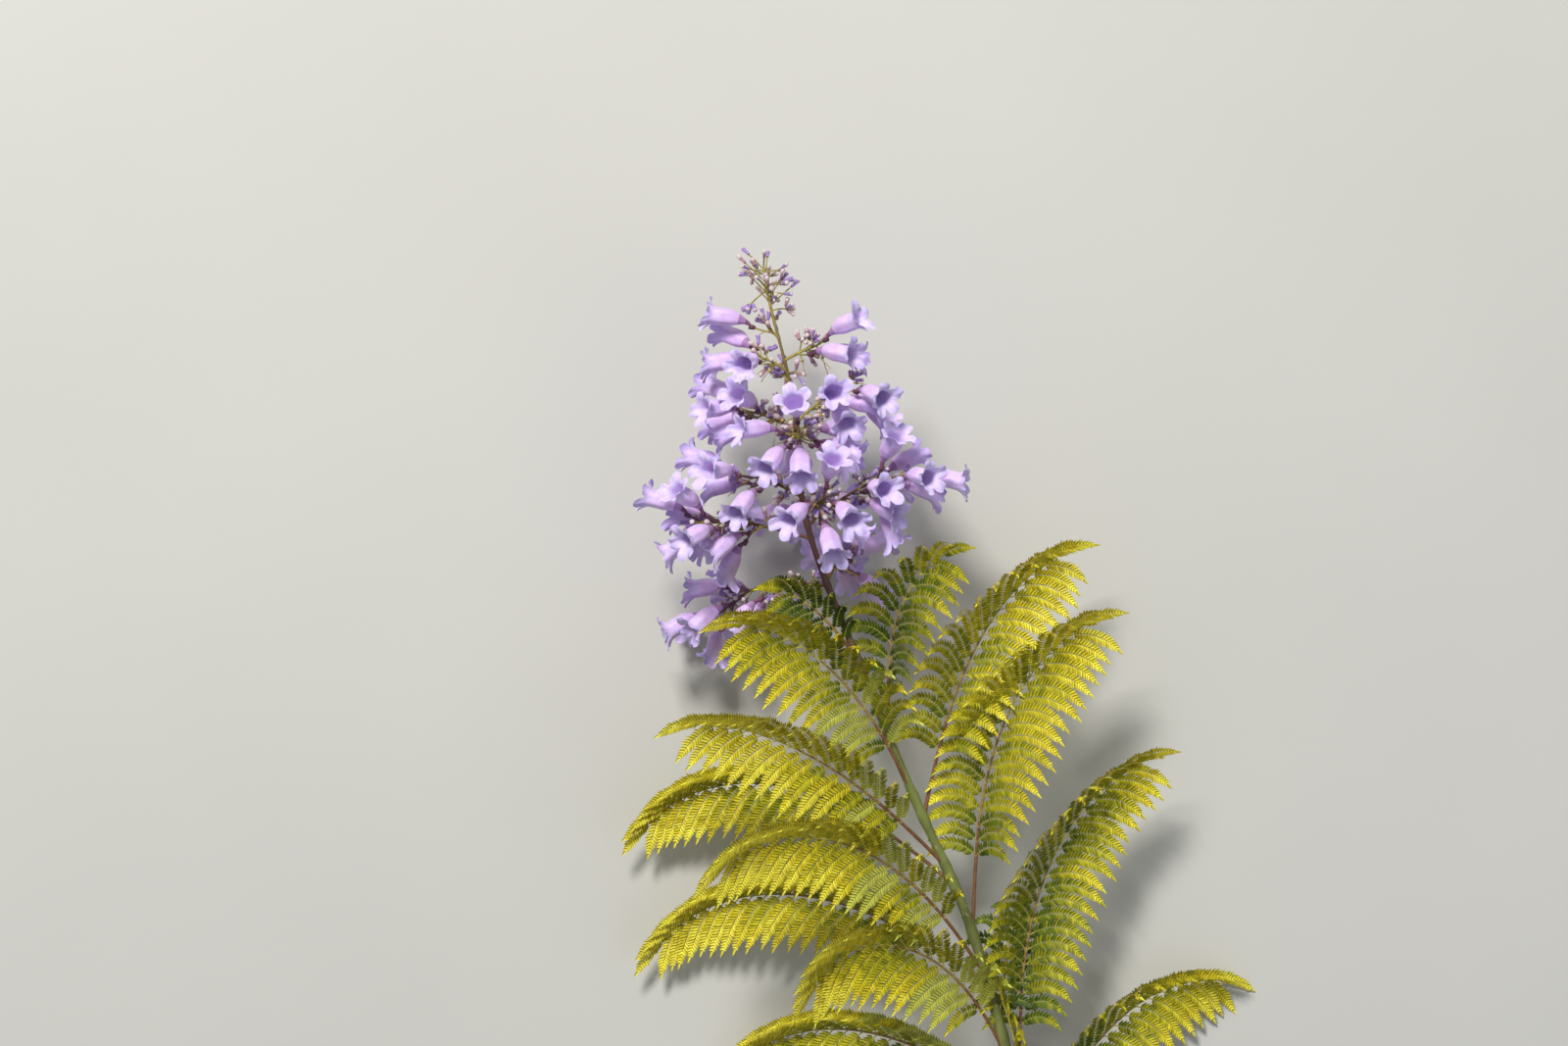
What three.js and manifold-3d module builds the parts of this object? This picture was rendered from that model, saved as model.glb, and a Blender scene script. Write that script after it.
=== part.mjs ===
// A flowering shoot of a jacaranda, cut from the tree and lying down: one leafy stem that
// carries feathery compound leaves and ends in a head of lavender trumpet blossoms.
//
// Units are millimetres. +Z is up from the surface the shoot lies on, +Y runs along the stem
// towards the flower head, and +X is to the right of someone who looks down on it. The shoot
// grew with +Y upwards, so its leaflets droop towards -Y. Shapes are worked out from the middle
// of the stem's cut end, and the whole is then moved to put the origin under its middle.
import * as THREE from "three";
import { mergeVertices } from "three/addons/utils/BufferGeometryUtils.js";
import Module from "manifold-3d";

const wasm = await Module();
wasm.setup();

const { degToRad, lerp } = THREE.MathUtils;
const vec = (x, y, z) => new THREE.Vector3(x, y, z);

// Stem: its sway to the side at every STEM_STEP of height, its rise from foot to tip, its radii
const STEM_SWAY = [0, -24, -54, -98, -139, -176, -188, -214];
const STEM_STEP = 100;
const STEM_REACH = STEM_STEP * (STEM_SWAY.length - 1);
const STEM_TOP = 651;
const STEM_LIFT = 78;
const FOOT_RADIUS = 5.4;
const NECK_HEIGHT = 405;
const NECK_RADIUS = 3.6;
const TIP_RADIUS = 1.2;
const STEM_SIDES = 8;
const STEM_RINGS = 20;
const STEM_BALL_STEP = 7;
const STEM_ROOM = 1;

// Sides of the thin limbs
const LIMB_SIDES = 3;

// Clearance between pieces that touch, and the distance within which it is looked for
const CLEARANCE = 0.3;
const GAP_SEARCH = 1;

// Sine of the angle below which two directions are too close to make a frame from
const TOO_ALIGNED = 0.1;

// Distance within which a mesh's corners are one, and how thin the slivers are that joining
// leaves and that are smoothed away
const MERGE_WITHIN = 1e-3;
const SLIVER = 0.03;

// Leaves: [name, height on the stem, turn at the base and tip, rise at the base and tip, length,
// roll towards the viewer at the base and tip, longest pinna]. Turn 0 points right, 90 at the
// viewer, 180 left.
const LEAVES = [
  ["leaf_left_0", 396, [150, 168], [50, 24], 80, [84, 104], 34],
  ["leaf_left_1", 290, [148, 168], [60, 12], 197, [92, 116], 58],
  ["leaf_right_1", 336, [50, 24], [92, 30], 154, [84, 116], 44],
  ["leaf_left_2", 236, [150, 176], [42, 5], 230, [92, 118], 52],
  ["leaf_low_2", 222, [199, 185], [38, -44], 268, [92, 112], 48],
  ["leaf_right_2", 274, [2, -8], [78, 34], 230, [70, 122], 52],
  ["leaf_left_3", 151, [150, 174], [53, -38], 256, [92, 118], 52],
  ["leaf_low_3", 146, [197, 184], [33, -46], 280, [92, 112], 48],
  ["leaf_right_3", 184, [34, 8], [88, 34], 262, [82, 122], 54],
  ["leaf_back_4", 106, [-84, -60], [80, 50], 96, [24, 24], 36],
  ["leaf_left_4", 86, [150, 170], [60, -56], 205, [92, 118], 56],
  ["leaf_low_4", 50, [200, 187], [32, -42], 244, [92, 112], 48],
  ["leaf_right_4", 44, [14, 4], [92, 32], 300, [100, 130], 50],
  ["leaf_front_5", 34, [124, 132], [82, 58], 102, [40, 40], 30],
  ["leaf_left_5", 18, [188, 183], [14, -52], 196, [92, 112], 44],
  ["leaf_right_5", 14, [-18, -15], [62, 0], 212, [80, 124], 46],
];
const SHADED = ["leaf_left_0", "leaf_right_1", "leaf_back_4"];
const LEAF_STEPS = 8;
const RISE_POWER = 2;
const PETIOLE_SHARE = 0.23;
const RACHIS_BASE_RADIUS = 1.5;
const RACHIS_TIP_RADIUS = 0.7;

// Pinnae, the leaf's feathery side arms, each one blade here: their number, and their sweep
// forwards and their droop, each with the share that it loses towards the leaf's tip; those that
// set off upwards droop less
const PINNA_SPACING = 22.5;
const LEAST_PAIRS = 5;
const PINNA_SWEEP = 48;
const SWEEP_LOSS = 0.5;
const PINNA_LIFT = 22;
const PINNA_DROOP = 1.5;
const DROOP_LOSS = 0.25;
const DROOP_POWER = 1.2;
const UPWARD_STIFFNESS = 0.4;
const PINNA_STEPS = 6;

// The arch of the pinnae's lengths along the leaf: the least share, the arch's start and end as
// shares of a half circle, and its flatness
const LEAST_PINNA = 0.3;
const ARCH_FROM = 0.18;
const ARCH_TO = 0.84;
const ARCH_POWER = 0.9;

// A pinna's blade: its half width, the share of it that the shortest have and the length from
// which it is whole, the share of its size at which it is tried again where there is no room, its
// thickness, the share of its distance from the rachis that it may be wide, the size of its heel
// as a share of the rachis's radius, and how far from the rachis's end the last one starts
const PINNA_HALF_WIDTH = 6.6;
const LEAST_WIDTH = 0.5;
const WIDE_FROM = 45;
const SLIM = 0.75;
const PINNA_THICKNESS = 0.8;
const RACHIS_ROOM = 0.75;
const HEEL_SHARE = 0.4;
const END_ROOM = 1;
const EDGE_LIFT = 0.22;
const PINNA_STATIONS = [
  // share of the length, share of the half width
  [0.32, 1],
  [0.7, 0.78],
  [1, 0],
];

// Flower branches: [name, height on the stem, turn, rise at the base and tip, length, number of
// blossoms, number of buds, bud stalk, the fan of the blossoms' turn, their middle rise, its fan]
const CYMES = [
  ["cyme_tip", 650, 170, [76, 84], 46, 0, 16, 20, 320, 0, 60],
  ["cyme_left_1", 642, 172, [40, 20], 8, 1, 3, 8, 40, 12, 20],
  ["cyme_right_1", 624, 15, [28, 15], 28, 3, 3, 8, 80, 6, 50],
  ["cyme_left_2", 616, 165, [35, 10], 22, 3, 2, 7, 110, 2, 50],
  ["cyme_right_2", 576, 18, [42, 20], 52, 6, 3, 7, 130, 0, 70],
  ["cyme_left_3", 570, 176, [30, 5], 42, 5, 2, 7, 120, -4, 70],
  ["cyme_front_1", 556, 88, [34, 10], 36, 6, 2, 7, 180, -6, 90],
  ["cyme_back_1", 560, -88, [20, 0], 30, 3, 1, 7, 120, 0, 60],
  ["cyme_left_4", 520, 166, [28, 0], 50, 5, 2, 7, 120, -6, 80],
  ["cyme_right_3", 498, 18, [38, 5], 84, 9, 3, 7, 120, -8, 110],
  ["cyme_front_2", 505, 68, [24, 5], 52, 6, 2, 7, 170, -8, 100],
  ["cyme_back_2", 500, -84, [25, 0], 54, 4, 1, 7, 130, 0, 60],
  ["cyme_left_5", 488, 170, [16, -8], 88, 8, 2, 7, 110, -12, 100],
  ["cyme_left_6", 452, 206, [4, -50], 100, 8, 1, 7, 100, -36, 80],
  ["cyme_right_4", 454, -56, [50, 20], 34, 5, 1, 7, 130, -6, 80],
];
const CYME_STEPS = 3;
const CYME_RADIUS = 1.3;
const CYME_TIP_RADIUS = 0.9;
const OWN_BLOSSOMS = 2;

// Along a branch each blossom and bud is a golden share of the fan further round than the last
const GOLDEN = 0.618;
const BLOSSOM_FROM = 0.4;
const BLOSSOM_START = 0.35;
const BLOSSOM_STRAY = 0.4;
const BLOSSOM_TRIES = 60;
const PEDICEL_LENGTHS = [6.4, 13.6];
const PEDICEL_RADIUS = 0.7;
const CALYX_RADIUS = 1.8;
const CALYX_LENGTH = 3;
const STALK_FREE_FROM = 0.3;

// Buds: where they start on the branch, their wider fan, their rise, their stalks' share of the
// row's length, their own lengths, and the share of those at which they are thickest
const BUDS_FROM = 0.3;
const BUD_FAN = 40;
const BUD_RISE = 25;
const BUD_RISE_FAN = 60;
const BUD_STALK_SHARES = [0.5, 1.2];
const BUD_LENGTHS = [5.6, 10.4];
const BUD_RADIUS = 1.8;
const BUD_BELLY = 0.6;

// Distance between the balls that stand for a thin piece where taken space is tested, and the
// part of a step that is too little to need one more
const BEAD_STEP = 3;
const BEAD_SLACK = 1e-6;

// Blossom: stations of its tube [distance from the base, radius], then its mouth and lobes
const TUBE = [
  [0, 1.6],
  [10, 2.9],
  [23, 6.9],
];
const LOBES = 5;
const LOBE_REACH = 40;
const LOBE_RADIUS = 14;
const LOBE_HALF_ANGLE = 23;
const NOTCH_REACH = 33;
const NOTCH_RADIUS = 8.8;
const THROAT_DEPTH = 12;
const TUBE_BEND = 3;

// The space a blossom takes: balls on its axis [distance from the base, radius], and the same in
// each lobe [angle from the lobe's middle, distance from the axis, distance from the base, radius]
const TUBE_BALLS = [
  [4.5, 2.4],
  [10, 3.3],
  [16.5, 5.2],
  [23, 7.2],
];
const LOBE_BALLS = [
  [0, 8.2, 31, 4.2],
  [-0.26, 10.6, 37.6, 4.8],
  [0.26, 10.6, 37.6, 4.8],
];

// The same run of chance numbers each time, from a seed
function chance(seed) {
  let state = seed;
  return () => {
    state = (state + 0x6d2b79f5) | 0;
    let t = Math.imul(state ^ (state >>> 15), 1 | state);
    t = (t + Math.imul(t ^ (t >>> 7), 61 | t)) ^ t;
    return ((t ^ (t >>> 14)) >>> 0) / 4294967296;
  };
}

// Directions and middle lines

function direction(turn, rise) {
  const t = degToRad(turn);
  const r = degToRad(rise);
  return vec(Math.cos(r) * Math.cos(t), Math.sin(r), Math.cos(r) * Math.sin(t));
}

const onward = (point, heading, distance) => point.clone().addScaledVector(heading, distance);

// A limb's middle line, whose turn and rise change from its base to its tip
function limb(start, [turn0, turn1], [rise0, rise1], length, steps) {
  const points = [start.clone()];
  for (let k = 0; k < steps; k++) {
    const share = (k + 0.5) / steps;
    const heading = direction(lerp(turn0, turn1, share), lerp(rise0, rise1, share ** RISE_POWER));
    points.push(onward(points[k], heading, length / steps));
  }
  return points;
}

function tangentsOf(points) {
  return points.map((p, k) => {
    const before = points[Math.max(k - 1, 0)];
    const after = points[Math.min(k + 1, points.length - 1)];
    return after.clone().sub(before).normalize();
  });
}

// The point and direction at a share of a line's length
function along(points, tangents, share) {
  const at = share * (points.length - 1);
  const k = Math.min(Math.floor(at), points.length - 2);
  return {
    point: points[k].clone().lerp(points[k + 1], at - k),
    tangent: tangents[k].clone().lerp(tangents[k + 1], at - k).normalize(),
  };
}

const stemLine = new THREE.CatmullRomCurve3(
  STEM_SWAY.map((x, k) => vec(x, k * STEM_STEP, (STEM_LIFT * k) / (STEM_SWAY.length - 1))),
  false,
  "catmullrom",
  0.5,
);
const stemAt = (height) => stemLine.getPoint(height / STEM_REACH);
const stemRadius = (height) =>
  height < NECK_HEIGHT
    ? lerp(FOOT_RADIUS, NECK_RADIUS, height / NECK_HEIGHT)
    : lerp(NECK_RADIUS, TIP_RADIUS, (height - NECK_HEIGHT) / (STEM_TOP - NECK_HEIGHT));

// Solids

// A closed solid from points and faces that point outwards
function solid(points, faces) {
  return new wasm.Manifold(
    new wasm.Mesh({
      numProp: 3,
      vertProperties: new Float32Array(points.flatMap((p) => [p.x, p.y, p.z])),
      triVerts: new Uint32Array(faces.flat()),
    }),
  );
}

// Faces between rings that turn anticlockwise as seen from the end; a ring of one point is a tip
function skin(rings, starts) {
  const faces = [];
  for (let k = 0; k + 1 < rings.length; k++) {
    const [a, b] = [starts[k], starts[k + 1]];
    const n = Math.max(rings[k].length, rings[k + 1].length);
    for (let i = 0; i < n; i++) {
      const j = (i + 1) % n;
      if (rings[k].length === 1) faces.push([a, b + j, b + i]);
      else if (rings[k + 1].length === 1) faces.push([a + i, a + j, b]);
      else faces.push([a + i, a + j, b + j], [a + i, b + j, b + i]);
    }
  }
  return faces;
}

function loft(rings) {
  const points = [];
  const starts = rings.map((ring) => points.push(...ring) - ring.length);
  const faces = skin(rings, starts);
  for (let i = 1; i + 1 < rings[0].length; i++) faces.push([0, i + 1, i]);
  const last = starts.at(-1);
  for (let i = 1; i + 1 < rings.at(-1).length; i++) faces.push([last, last + i, last + i + 1]);
  return solid(points, faces);
}

// Rings round a line, turned as little as possible from one to the next
function ringsRound(points, radii, sides) {
  const tangents = tangentsOf(points);
  const side = vec(0, 0, 1).cross(tangents[0]);
  if (side.length() < TOO_ALIGNED) side.set(1, 0, 0).cross(tangents[0]);
  return points.map((p, k) => {
    side.addScaledVector(tangents[k], -side.dot(tangents[k])).normalize();
    const up = tangents[k].clone().cross(side);
    return Array.from({ length: sides }, (_, i) => {
      const angle = (2 * Math.PI * i) / sides;
      return onward(onward(p, side, radii[k] * Math.cos(angle)), up, radii[k] * Math.sin(angle));
    });
  });
}

const tube = (points, radii, sides) => loft(ringsRound(points, radii, sides));

const joined = (pieces) => pieces.reduce((a, b) => a.add(b));

// Of the bodies that a cut leaves, the largest
const mainBody = (cut) => cut.decompose().reduce((a, b) => (b.volume() > a.volume() ? b : a));

function stemSolid(margin) {
  const top = STEM_TOP + margin;
  const heights = Array.from({ length: STEM_RINGS }, (_, k) => (top * k) / (STEM_RINGS - 1));
  return tube(
    heights.map(stemAt),
    heights.map((h) => stemRadius(h) + margin),
    STEM_SIDES,
  );
}

// Space that is taken, as balls: [middle, radius]
const taken = [];
const isFree = (balls) =>
  balls.every(([p, r]) => taken.every(([q, s]) => p.distanceToSquared(q) > (r + s) ** 2));

// Balls along a thin piece from one point to another
function beads(from, to, radius) {
  const count = Math.ceil(from.distanceTo(to) / BEAD_STEP - BEAD_SLACK);
  return Array.from({ length: count }, (_, k) => [from.clone().lerp(to, (k + 1) / count), radius]);
}

const beadsAlong = (line, radius) => line.slice(1).flatMap((p, k) => beads(line[k], p, radius));

// Blossoms

// How far the tube's middle strays from the axis: it rises to the throat and comes straight back
function tubeBend(z) {
  if (z < 0) return 0;
  if (z < THROAT_DEPTH) return (TUBE_BEND * z) / THROAT_DEPTH;
  return (TUBE_BEND * (LOBE_REACH - z)) / (LOBE_REACH - THROAT_DEPTH);
}

// Places points in a blossom's own frame: right, up and along its axis, from its base
function blossomFrame(base, axis) {
  const up = onward(vec(0, 1, 0), axis, -axis.y);
  if (up.length() < TOO_ALIGNED) up.copy(onward(vec(0, 0, 1), axis, -axis.z));
  up.normalize();
  const right = up.clone().cross(axis);
  return (x, y, z) => onward(onward(onward(base, right, x), up, y + tubeBend(z)), axis, z);
}

function blossomBalls(place) {
  const balls = TUBE_BALLS.map(([z, r]) => [place(0, 0, z), r]);
  for (let i = 0; i < LOBES; i++) {
    for (const [aside, out, z, radius] of LOBE_BALLS) {
      const angle = (2 * Math.PI * (i + 0.5)) / LOBES + aside;
      balls.push([place(out * Math.cos(angle), out * Math.sin(angle), z), radius]);
    }
  }
  return balls;
}

// The trumpet: a stalk's rings if it has one, a five-sided tube, five flared lobes with notches
// between them, and a hollow throat
function blossomSolid(place, stalk) {
  const ring = (radius, z) =>
    Array.from({ length: LOBES }, (_, i) => {
      const angle = (2 * Math.PI * i) / LOBES;
      return place(radius * Math.cos(angle), radius * Math.sin(angle), z);
    });
  const rim = [];
  for (let i = 0; i < LOBES; i++) {
    const notch = (2 * Math.PI * i) / LOBES;
    const middle = notch + Math.PI / LOBES;
    const spread = degToRad(LOBE_HALF_ANGLE);
    rim.push(place(NOTCH_RADIUS * Math.cos(notch), NOTCH_RADIUS * Math.sin(notch), NOTCH_REACH));
    for (const angle of [middle - spread, middle + spread])
      rim.push(place(LOBE_RADIUS * Math.cos(angle), LOBE_RADIUS * Math.sin(angle), LOBE_REACH));
  }
  const outside = [...stalk.map(([z, r]) => ring(r, z)), ...TUBE.map(([z, r]) => ring(r, z))];
  const points = [];
  const starts = outside.map((r) => points.push(...r) - r.length);
  const faces = skin(outside, starts);
  const edge = points.push(...rim) - rim.length;
  const throat = points.push(place(0, 0, THROAT_DEPTH)) - 1;
  const mouth = starts.at(-1);
  for (let i = 1; i + 1 < LOBES; i++) faces.push([0, i + 1, i]);
  for (let i = 0; i < LOBES; i++) {
    const j = (i + 1) % LOBES;
    const [notch, left, right, next] = [0, 1, 2, 3].map((n) => edge + ((3 * i + n) % rim.length));
    faces.push([mouth + i, left, notch], [mouth + i, right, left]);
    faces.push([mouth + i, mouth + j, right], [mouth + j, next, right]);
    faces.push([notch, left, throat], [left, right, throat], [right, next, throat]);
  }
  return solid(points, faces);
}

// One cyme: its branch, where its blossoms sit, and the stalks of its buds
function growCyme(row, k) {
  const [name, height, turn, rise, length, blossoms, buds, budStalk, fanTurn, aimRise, fanRise] = row;
  const random = chance(1000 + k);
  const line = limb(stemAt(height), [turn, turn], rise, length, CYME_STEPS);
  const tangents = tangentsOf(line);
  taken.push(...beadsAlong(line, CYME_RADIUS + CLEARANCE));
  const sites = [];
  for (let i = 0; i < blossoms; i++) {
    for (let tries = 0; tries < BLOSSOM_TRIES; tries++) {
      const share = lerp(BLOSSOM_FROM, 1, (i + random()) / blossoms);
      const swing = ((i * GOLDEN + BLOSSOM_STRAY * random() + BLOSSOM_START) % 1) - 0.5;
      const aim = direction(turn + fanTurn * swing, aimRise + fanRise * (random() - 0.5));
      const reach = lerp(...PEDICEL_LENGTHS, random());
      const { point } = along(line, tangents, share);
      const base = onward(point, aim, reach + CALYX_LENGTH + CLEARANCE);
      const place = blossomFrame(base, aim);
      const foot = point.clone().lerp(base, STALK_FREE_FROM);
      const balls = [...blossomBalls(place), ...beads(foot, base, CALYX_RADIUS)];
      if (!isFree(balls)) continue;
      taken.push(...balls);
      sites.push({ point, base, aim, reach, place });
      break;
    }
  }
  const budStalks = [];
  for (let i = 0; i < buds; i++) {
    const { point } = along(line, tangents, lerp(BUDS_FROM, 1, (i + 1) / buds));
    const swing = (BUD_FAN + fanTurn) * (((i * GOLDEN) % 1) - 0.5);
    const aim = direction(turn + swing, aimRise + BUD_RISE + BUD_RISE_FAN * (random() - 0.5));
    const foot = onward(point, aim, budStalk * lerp(...BUD_STALK_SHARES, random()));
    const tip = onward(foot, aim, lerp(...BUD_LENGTHS, random()));
    const start = point.clone().lerp(foot, STALK_FREE_FROM);
    const balls = [...beads(start, foot, PEDICEL_RADIUS), ...beads(foot, tip, BUD_RADIUS)];
    if (!isFree(balls)) continue;
    taken.push(...balls);
    budStalks.push([point, foot, tip]);
  }
  return { name, line, sites, budStalks };
}

function stalkSolid({ point, base, aim, reach }) {
  const foot = onward(point, aim, reach);
  const end = onward(base, aim, -CLEARANCE);
  return tube([point, foot, end], [PEDICEL_RADIUS, PEDICEL_RADIUS, CALYX_RADIUS], LIMB_SIDES);
}

function budSolid([point, foot, tip]) {
  const line = [point, foot, foot.clone().lerp(tip, BUD_BELLY)];
  const rings = ringsRound(line, [PEDICEL_RADIUS, PEDICEL_RADIUS, BUD_RADIUS], LIMB_SIDES);
  return loft([...rings, [tip]]);
}

// The stalk's rings in the frame of the blossom that it carries: [distance, radius]
const stalkRings = ({ reach }) => [
  [-reach - CALYX_LENGTH - CLEARANCE, PEDICEL_RADIUS],
  [-CALYX_LENGTH - CLEARANCE, PEDICEL_RADIUS],
];

// Leaves

// The leaf's upper face at a point, rolled towards the viewer
function leafFace(tangent, turn, roll) {
  const up = direction(turn + 90, 0).cross(tangent).normalize();
  const near = tangent.clone().cross(up);
  if (Math.cos(degToRad(turn)) < 0) near.negate();
  const r = degToRad(roll);
  return onward(up.multiplyScalar(Math.cos(r)), near, Math.sin(r));
}

// A three-cornered section: one edge, the ridge beneath, the other edge
function section(point, heading, normal, half, depth) {
  const across = heading.clone().cross(normal).normalize();
  const face = across.clone().cross(heading);
  const edge = onward(point, face, EDGE_LIFT * half);
  return [onward(edge, across, half), onward(point, face, -depth), onward(edge, across, -half)];
}

// A pinna's middle line, which sets off forwards from the rachis and droops as it goes; place is
// the share of the way along the leaf's feathered part
function pinnaLine(root, tangent, normal, aside, length, place) {
  const sweep = degToRad(PINNA_SWEEP * (1 - SWEEP_LOSS * place ** 2));
  const lift = degToRad(PINNA_LIFT);
  const out = onward(aside.clone().multiplyScalar(Math.cos(lift)), normal, Math.sin(lift));
  const stiffness = 1 - UPWARD_STIFFNESS * Math.max(0, out.y);
  const droop = PINNA_DROOP * (1 - DROOP_LOSS * place ** 3) * stiffness;
  const start = onward(tangent.clone().multiplyScalar(Math.cos(sweep)), out, Math.sin(sweep));
  const points = [root.clone()];
  for (let k = 0; k < PINNA_STEPS; k++) {
    const share = (k + 0.5) / PINNA_STEPS;
    const heading = onward(start, vec(0, -1, 0), droop * share ** DROOP_POWER).normalize();
    points.push(onward(points[k], heading, length / PINNA_STEPS));
  }
  return points;
}

// A blade's sections from near its root to its tip; room is how wide it may be at a point
function bladeRings(line, normal, length, slim, room) {
  const tangents = tangentsOf(line);
  const wide = slim * PINNA_HALF_WIDTH * Math.min(1, lerp(LEAST_WIDTH, 1, length / WIDE_FROM));
  return PINNA_STATIONS.map(([share, width]) => {
    const { point, tangent } = along(line, tangents, share);
    const half = Math.min(width * wide, room(point));
    return width ? section(point, tangent, normal, half, PINNA_THICKNESS) : [point];
  });
}

// Longest in the middle of the leaf, shorter at its base and tip
function pinnaShare(place) {
  const arch = Math.sin(Math.PI * lerp(ARCH_FROM, ARCH_TO, place)) ** ARCH_POWER;
  return lerp(LEAST_PINNA, 1, arch);
}

const rachisLine = ([, height, turns, rises, length]) =>
  limb(stemAt(height), turns, rises, length, LEAF_STEPS);

const rachisRadius = (share) => lerp(RACHIS_BASE_RADIUS, RACHIS_TIP_RADIUS, share);

// A leaf: its rachis, with a pinna on either side of each node and one at the tip, where there is
// room for them
function growLeaf(row, rachis, others) {
  const [, , turns, , length, rolls, longest] = row;
  const line = rachisLine(row);
  const tangents = tangentsOf(line);
  const pinnae = [];
  const outers = [];
  const grow = (share, side) => {
    const place = (share - PETIOLE_SHARE) / (1 - PETIOLE_SHARE);
    const { point, tangent } = along(line, tangents, share);
    const normal = leafFace(tangent, lerp(...turns, share), lerp(...rolls, share));
    const aside = side ? tangent.clone().cross(normal).multiplyScalar(side) : tangent;
    const reach = (p) => p.clone().sub(point).cross(tangent).length() - rachisRadius(share);
    const room = side ? (p) => RACHIS_ROOM * reach(p) : () => PINNA_HALF_WIDTH;
    for (const slim of [1, SLIM]) {
      const size = longest * pinnaShare(place) * slim;
      const middle = pinnaLine(point, tangent, normal, aside, size, place);
      const rings = bladeRings(middle, normal, size, slim, room);
      const heading = middle[1].clone().sub(point).normalize();
      const inner = HEEL_SHARE * rachisRadius(share);
      const whole = loft([section(point, heading, normal, inner, inner), ...rings]);
      const outer = loft(rings);
      if (!isClear(whole, [...placed, ...others, ...outers]) || !isClear(outer, [rachis])) continue;
      pinnae.push(whole);
      outers.push(outer);
      return;
    }
  };
  const pairs = Math.max(LEAST_PAIRS, Math.round((length * (1 - PETIOLE_SHARE)) / PINNA_SPACING));
  for (let i = 0; i < pairs; i++) {
    const share = lerp(PETIOLE_SHARE, 1, i / pairs);
    grow(share, 1);
    grow(share, -1);
  }
  grow(1 - END_ROOM / length, 0);
  return joined([rachis, ...pinnae]).simplify(SLIVER);
}

// Assembly

const PAINT = {
  stem: { color: 0x6f7a3c, roughness: 0.6, metalness: 0 },
  cyme: { color: 0xb39ad8, roughness: 0.6, metalness: 0 },
  blossom: { color: 0xb9a2e6, roughness: 0.55, metalness: 0 },
  leaf: { color: 0xb9c22e, roughness: 0.5, metalness: 0 },
  shaded: { color: 0x7f9a2c, roughness: 0.5, metalness: 0 },
};

const shoot = new THREE.Group();
const placed = [];

// A named piece, which turns and moves about its own anchor
function addNode(name, paint, made, anchor) {
  const { vertProperties, triVerts } = made.getMesh();
  const geometry = new THREE.BufferGeometry();
  geometry.setAttribute("position", new THREE.BufferAttribute(vertProperties, 3));
  geometry.setIndex(new THREE.BufferAttribute(triVerts, 1));
  const shape = mergeVertices(geometry, MERGE_WITHIN);
  shape.translate(-anchor.x, -anchor.y, -anchor.z);
  shape.computeVertexNormals();
  const mesh = new THREE.Mesh(shape, new THREE.MeshStandardMaterial(PAINT[paint]));
  mesh.name = name;
  mesh.position.copy(anchor);
  shoot.add(mesh);
  placed.push(made);
}

const isClear = (piece, others) =>
  others.every((other) => piece.minGap(other, GAP_SEARCH) > CLEARANCE);

const keepClear = stemSolid(CLEARANCE);
addNode("stem", "stem", stemSolid(0), vec(0, 0, 0));
for (let height = 0; height <= STEM_TOP; height += STEM_BALL_STEP) {
  taken.push([stemAt(height), stemRadius(height) + STEM_ROOM]);
}

for (const row of LEAVES) taken.push(...beadsAlong(rachisLine(row), RACHIS_BASE_RADIUS));

for (const { name, line, sites, budStalks } of CYMES.map(growCyme)) {
  const radii = line.map((_, k) => lerp(CYME_RADIUS, CYME_TIP_RADIUS, k / CYME_STEPS));
  const pieces = [tube(line, radii, LIMB_SIDES), ...budStalks.map(budSolid)];
  sites.forEach((site, k) => {
    if (k < OWN_BLOSSOMS) {
      addNode(`${name}_blossom_${k + 1}`, "blossom", blossomSolid(site.place, []), site.base);
      pieces.push(stalkSolid(site));
    } else pieces.push(blossomSolid(site.place, stalkRings(site)));
  });
  addNode(name, "cyme", mainBody(joined(pieces).subtract(keepClear)), line[0]);
}

const rachises = LEAVES.map((row) => {
  const radii = Array.from({ length: LEAF_STEPS + 1 }, (_, k) => rachisRadius(k / LEAF_STEPS));
  return tube(rachisLine(row), radii, LIMB_SIDES);
});
LEAVES.forEach((row, k) => {
  const [name, height] = row;
  const others = rachises.filter((_, i) => i !== k);
  const made = mainBody(growLeaf(row, rachises[k], others).subtract(keepClear));
  addNode(name, SHADED.includes(name) ? "shaded" : "leaf", made, stemAt(height));
});

// The origin goes under the middle of the whole shoot, on the ground
const box = new THREE.Box3().setFromObject(shoot);
const middle = box.getCenter(vec(0, 0, 0));
shoot.position.set(-middle.x, -middle.y, -box.min.z);

const part = new THREE.Group();
part.add(shoot);

export default part;
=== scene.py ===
"""A cut flowering branch of a jacaranda in full detail, lying on a pale floor and seen from above.

Lengths are worked out in millimetres from the middle of the stem's cut end, by the same rules as
the solids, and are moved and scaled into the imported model's frame when a mesh is made.
"""

import math
from collections import namedtuple

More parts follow.
